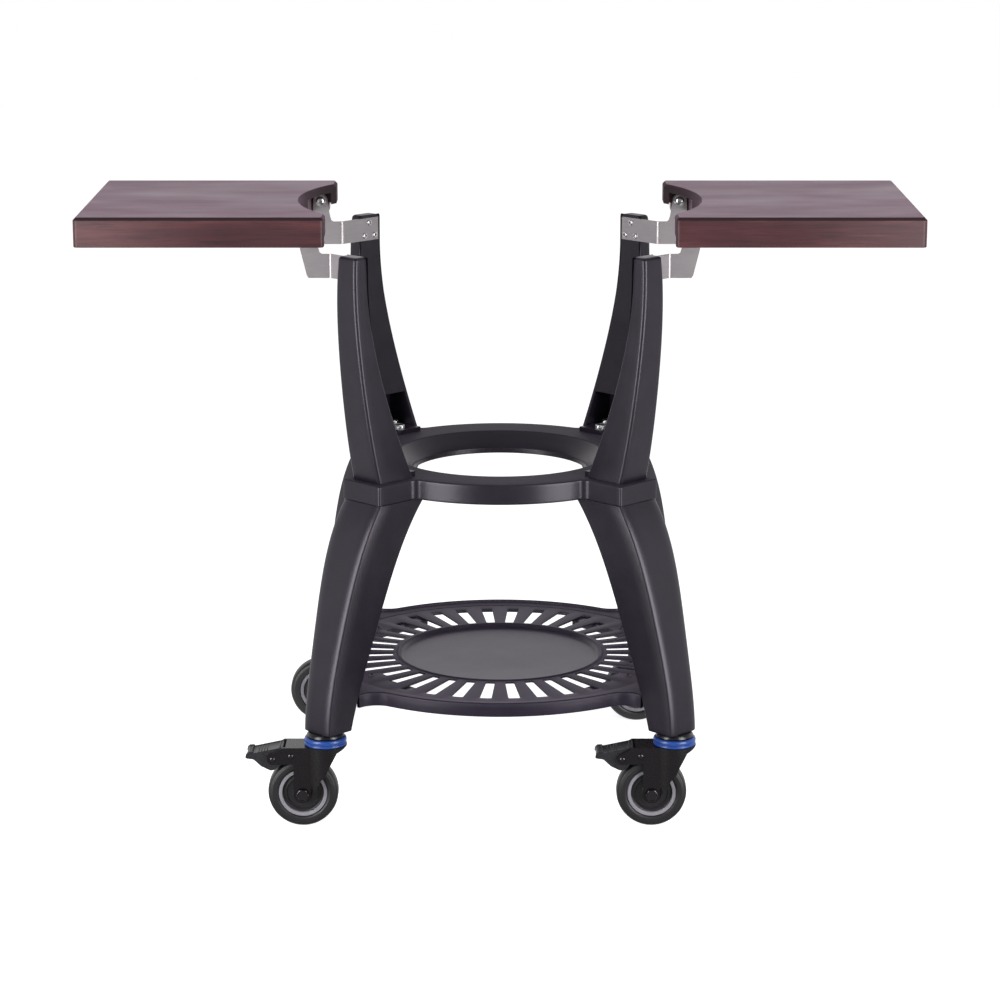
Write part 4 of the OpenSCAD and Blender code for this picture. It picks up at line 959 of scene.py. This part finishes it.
def stem_rows():
    """Black cap over the seal, its cup, the threaded stem above and the king pin below, turned."""
    plate, gap, head = 3.5, 0.3, 4.0
    low, cup_low = FORK_TOP - plate - gap - head, FORK_TOP + gap
    thread = [(6.0 - 0.5 * (k % 2), 139.5 + 0.75 * k) for k in range(32)]
    king_pin = [(0.4, low), (9.4, low), (10, low + 0.6), (10, low + head), (6.9, low + head),
                (6.9, cup_low)]
    cup = [(23.6, cup_low), (24, FORK_TOP + 0.8), (24, 132)]
    cap = [(26.4, 132), (27, 132.8), (26.6, 134.2), (25.4, 136.0), (24.4, 137.4), (23.4, 137.95),
           (6.0, 137.95)]
    return turned(king_pin + cup + cap + thread + [(5.2, 164), (0.4, 164)])


def pedal_parts():
    """Brake pedal about its pin: plates across the caster, a body with grip bars and a toothed tip.

    The body's side view is a rounded polygon whose top falls by 12 degrees, and each bar is
    a small trapezium on that slope.
    """
    fall = math.tan(math.radians(12))
    run, tip, top = 15.8, 36.5, 16.0

    def slope(x):
        return top - (run - x) * fall

    side = [(run, top), (-tip + 9, slope(-tip + 9)), (-tip + 8, slope(-tip + 8) + 2.3),
            (-tip + 2, slope(-tip + 2) + 3.3), (-tip, slope(-tip) + 1.3), (-tip - 1, 1.5), (-tip + 10, 0),
            (-15.5, -10.4), (-3, -16.5), (2.2, -15.7), (8.5, -10.5), (9.5, 5), (run, top - 5)]
    radii = [1.0, 1.5, 1.2, 1.6, 1.2, 1.0, 6.0, 4.0, 3.0, 3.0, 2.0, 2.0, 0.8]
    parts = [plate_rows(rounded(side, radii, 5)[::-1], -18.0, 18.0, 1.2)]
    grips = [(x, 1.6, 0.9, 14) for x in (-20, -16, -12, -8)] + [(10.2, 2.2, 1.0, 17), (14.0, 2.0, 0.8, 17)]
    teeth = [(-35.2, 1.5, 2.9, 16.5), (-32.4, 1.5, 3.6, 16.5), (-29.8, 1.3, 3.4, 16.5)]
    for x, wide, high, half in grips + teeth:
        z, foot, crest = slope(x), wide / 2, wide / 2 * 0.7
        bar = [(x - foot, z - 0.8), (x + foot, z - 0.8), (x + crest, z + high), (x - crest, z + high)]
        parts.append(plate_rows(rounded(bar, [0.1, 0.1, 0.5, 0.5], 3), -half, half, 0.4))
    return parts


def rivet_rows():
    """Pin across the fork with a domed head on each side, its profile mirrored about h = 0 and turned."""
    half = [(2.5, FORK_FACE), (4.2, FORK_FACE), (4.1, 23.0), (3.2, 24.1), (1.8, 24.6), (0.3, 24.6)]
    return turned([(r, -h) for r, h in half[::-1]] + half, count=48)


TYRE_ROWS, RIM_ROWS, HUB_ROWS = wheel_rows(TYRE_HALF), wheel_rows(RIM_HALF), wheel_rows(HUB_HALF)
SEAL_ROWS, STEM_ROWS, RIVET_ROWS, PEDAL_PARTS = seal_rows(), stem_rows(), rivet_rows(), pedal_parts()
AXLE_HEAD = hex_bolt(46.0, across=16.6, high=6.0, dish=0.9)
AXLE_NUT = hex_bolt(0.5, across=16.6, high=6.0, dish=0.0)

shell_piece("caster_stem_set",
            joined(*[skin(moved(STEM_ROWS, sx * STEM_XY, sy * STEM_XY)) for _, sx, sy in CORNERS]),
            "caster_stems")
for corner_name, sx, sy in CORNERS:
    stem_x, stem_y = sx * STEM_XY, sy * STEM_XY
    axle_x = stem_x - TRAIL
    for name, rows, node, slot in (("tyre_tread_", TYRE_ROWS, "tyre_", "tyre_rubber"),
                                   ("wheel_rim_", RIM_ROWS, "rim_", "rim_grey"),
                                   ("wheel_disc_", HUB_ROWS, "hub_", "hub_black")):
        shell = skin(laid(rows, axle_x, stem_y, AXLE_Z), close_rows=True)
        shell_piece(name + corner_name, shell, node + corner_name)
    shell_piece("swivel_seal_" + corner_name, skin(moved(SEAL_ROWS, stem_x, stem_y), close_rows=True),
                "seal_" + corner_name)
    head = skin(laid(AXLE_HEAD, axle_x, stem_y - FORK_FACE, AXLE_Z, -1))
    nut = skin(laid(AXLE_NUT, axle_x, stem_y + FORK_FACE, AXLE_Z, 1))
    shell_piece("axle_bolt_" + corner_name, joined(head, nut), "axle_" + corner_name)
    soften("fork_" + corner_name, 0.5)
    if sy < 0:
        pin_x, pin_z = stem_x - PEDAL_PIN[0], AXLE_Z + PEDAL_PIN[1]
        pedal = joined(*[skin(laid(rows, pin_x, stem_y, pin_z)) for rows in PEDAL_PARTS])
        shell_piece("brake_pedal_" + corner_name, pedal, "pedal_" + corner_name)
        for name, node, (back, up) in (("pedal_rivet_", "pedal_pin_", PEDAL_PIN),
                                       ("stop_rivet_", "stop_pin_", STOP_PIN)):
            rivet = skin(laid(RIVET_ROWS, stem_x - back, stem_y, AXLE_Z + up))
            shell_piece(name + corner_name, rivet, node + corner_name)
    soften("bracket_" + corner_name, 0.4)


# Side boards

# What is cut from a board's underside. Each box runs from one corner to the other, on the back half.
BRACKET_SLOT = (252.12, 146.6, 800.0), (336.67, 158.0, 853.5)
NOTCH_OPENING = (252.0, 60.0, 801.0), (281.7, 157.0, 853.4)
FRONT_REBATE = (243.0, 120.0, 802.0), (256.12, 182.0, 835.8)
BACK_REBATE = (243.0, 120.0, 802.0), (256.12, 199.0, 835.8)
INSERT_HOLE = [(6.05, 150.0), (6.05, 178.0)]


def board_block():
    """The right board without its cuts: a small round at the bottom edge and a soft bevel round the top.

    The outline has four rounded corners and a notch on the circle NOTCH_R, and the profile
    (inset, z) draws it in from row to row.
    """
    notch_y = math.sqrt(NOTCH_R ** 2 - BOARD_X0 ** 2)
    lean = math.degrees(math.atan2(notch_y, BOARD_X0))
    notch = arc(0, 0, NOTCH_R, lean, -lean, 61)
    corners = [(BOARD_X0, -BOARD_HALF), (BOARD_X1, -BOARD_HALF),
               (BOARD_X1, BOARD_HALF), (BOARD_X0, BOARD_HALF)]
    outline = rounded(np.concatenate([corners, notch]), [BOARD_CORNER] * 4 + [0.0] * len(notch), 7)
    profile = rounded([(5.0, BOARD_LOW), (0.0, BOARD_LOW), (0.0, BOARD_TOP - 4.0), (4.0, BOARD_TOP),
                       (5.6, BOARD_TOP)], [0, 1.5, 2.5, 2.5, 0], 5, closed=False)
    return skin(drawn_in(outline, profile))


def block(box, way):
    """A closed box, or with way -1 its mirror image across Y = 0, used only to cut with."""
    (x0, y0, z0), (x1, y1, z1) = box
    y0, y1 = sorted((way * y0, way * y1))
    return skin([[(x0, y0, z), (x1, y0, z), (x1, y1, z), (x0, y1, z)] for z in (z0, z1)])


def board_cuts():
    """Bracket slots, their openings to the notch, insert holes and rebates under the ends."""
    cuts = []
    for way, rebate in ((-1, FRONT_REBATE), (1, BACK_REBATE)):
        hole = skin(laid(turned(INSERT_HOLE, count=48), HINGE_X, 0, HINGE_Z, way))
        cuts += [block(BRACKET_SLOT, way), block(NOTCH_OPENING, way), hole, block(rebate, way)]
    return cuts


def cut_board():
    """The right board's mesh with everything cut away from its underside."""
    body = placed("board", clean_mesh("board", board_block()))
    cutters = [placed("cutter", clean_mesh("cutter", shell)) for shell in board_cuts()]
    for cutter in cutters:
        cut = body.modifiers.new("cut", "BOOLEAN")
        cut.operation = "DIFFERENCE"
        cut.solver = "EXACT"
        cut.object = cutter
    graph = bpy.context.evaluated_depsgraph_get()
    mesh = bpy.data.meshes.new_from_object(body.evaluated_get(graph))
    for spent in [body] + cutters:
        bpy.data.objects.remove(spent)
    return mesh


def mirrored(mesh):
    """A mirror image of a mesh across X = 0, with its faces pointing outward again."""
    work = bmesh.new()
    work.from_mesh(mesh)
    bmesh.ops.scale(work, vec=(-1, 1, 1), verts=work.verts)
    bmesh.ops.remove_doubles(work, verts=work.verts, dist=2e-6)
    bmesh.ops.recalc_face_normals(work, faces=work.faces)
    image = mesh.copy()
    work.to_mesh(image)
    work.free()
    return image


right_board = cut_board()
piece("side_board_wood_right", right_board, "side_board_right", 30.0)
piece("side_board_wood_left", mirrored(right_board), "side_board_left", 30.0)


# Stage, light and camera

WHITE = (1, 1, 1)


def white_world(lit, front, zenith):
    """A studio: white to the camera, an even grey light, and for gloss a white backdrop.

    Gloss sees the backdrop behind the object at strength 1. It fades to front on the camera's
    side and to zenith overhead, where a studio is dark.
    """
    world = bpy.data.worlds.new("studio")
    bpy.context.scene.world = world
    web = Web(world)

    def fade(amount, low, high, start, end):
        smooth = {"interpolation_type": "SMOOTHSTEP"}
        return web.add("ShaderNodeMapRange", smooth, amount, low, high, start, end).out("Result")

    def light(strength):
        return web.add("ShaderNodeBackground", None, WHITE, strength).out()

    direction = web.add("ShaderNodeTexCoord").out("Generated")
    path = web.add("ShaderNodeLightPath")
    behind = fade(direction.axis("Y"), -0.5, 0.38, front, 1.0)
    backdrop = behind * fade(direction.axis("Z"), 0.25, 0.65, 1.0, zenith)
    gloss = web.mixed(backdrop, light(0.0), light(1.0))
    seen = path.out("Is Camera Ray").most(path.out("Is Transmission Ray"))
    shown = web.mixed(seen, web.mixed(path.out("Is Glossy Ray"), light(lit), gloss), light(1.0))
    web.add("ShaderNodeOutputWorld", None, shown)


def floor_paint(tone, glow, front, back):
    """Pale floor: a diffuse surface that takes the object's shadow, brightened for the camera.

    Gloss sees it as the backdrop carried on, back behind the object and front on the camera's
    side: the mix follows y / distance from the middle.
    """
    material = bpy.data.materials.new("floor_white")
    web = Web(material)

    def light(strength):
        return web.add("ShaderNodeEmission", None, WHITE, strength).out()

    place = web.add("ShaderNodeTexCoord").out("Object")
    path = web.add("ShaderNodeLightPath")
    x, y = place.axis("X"), place.axis("Y")
    behind = (y / (x * x + y * y + 0.01) ** 0.5).above(-0.5, 0.88)
    plain = web.add("ShaderNodeBsdfDiffuse", None, (tone, tone, tone)).out()
    seen = web.add("ShaderNodeAddShader", None, plain, light(glow)).out()
    lit = web.mixed(path.out("Is Glossy Ray"), plain, web.mixed(behind, light(front), light(back)))
    web.add("ShaderNodeOutputMaterial", None, web.mixed(path.out("Is Camera Ray"), lit, seen))
    return material


def floor(material, half=9.0):
    """A square floor about the object, with sides of twice half in metres."""
    mesh = bpy.data.meshes.new("floor")
    corners = [(-half, -half, 0), (half, -half, 0), (half, half, 0), (-half, half, 0)]
    mesh.from_pydata(corners, [], [(0, 1, 2, 3)])
    mesh.materials.append(material)
    placed("floor", mesh)


def soft_box(name, place, target, size, power):
    """A rectangular lamp that faces its target."""
    lamp = bpy.data.lights.new(name, "AREA")
    lamp.shape = "RECTANGLE"
    lamp.size, lamp.size_y = size
    lamp.energy = power
    made = placed(name, lamp)
    made.location = place
    made.rotation_euler = (Vector(target) - Vector(place)).to_track_quat("-Z", "Y").to_euler()
    made.visible_camera = False
    return made


GLOSS_FRONT = 0.36
white_world(lit=0.3, front=GLOSS_FRONT, zenith=0.45)
floor(floor_paint(tone=0.8, glow=0.8, front=GLOSS_FRONT, back=0.9))
for side_name, sx in SIDES:
    soft_box("side_" + side_name, place=(sx * 1.25, -1.22, 0.75), target=(0, 0, 0.75),
             size=(0.78, 1.5), power=31)
top_box = soft_box("top", place=(0, -0.4, 3.2), target=(0, 0, 0.6), size=(2.2, 1.4), power=15)
top_box.visible_glossy = False

# The photograph's focal length in pixels of its 1000-pixel frame, and the camera's place and downward tilt
FOCAL_PX, FRAME_PX = 3102.5, 1000.0
CAMERA_PLACE, CAMERA_TILT = (0.0, -4.4621, 1.4868), 0.2355
lens = bpy.data.cameras.new("camera")
lens.sensor_width = 36.0
lens.lens = FOCAL_PX * lens.sensor_width / FRAME_PX
camera = placed("camera", lens)
camera.location = CAMERA_PLACE
camera.rotation_euler = (math.pi / 2 - CAMERA_TILT, 0.0, 0.0)
bpy.context.scene.camera = camera
bpy.context.scene.view_settings.view_transform = "Standard"
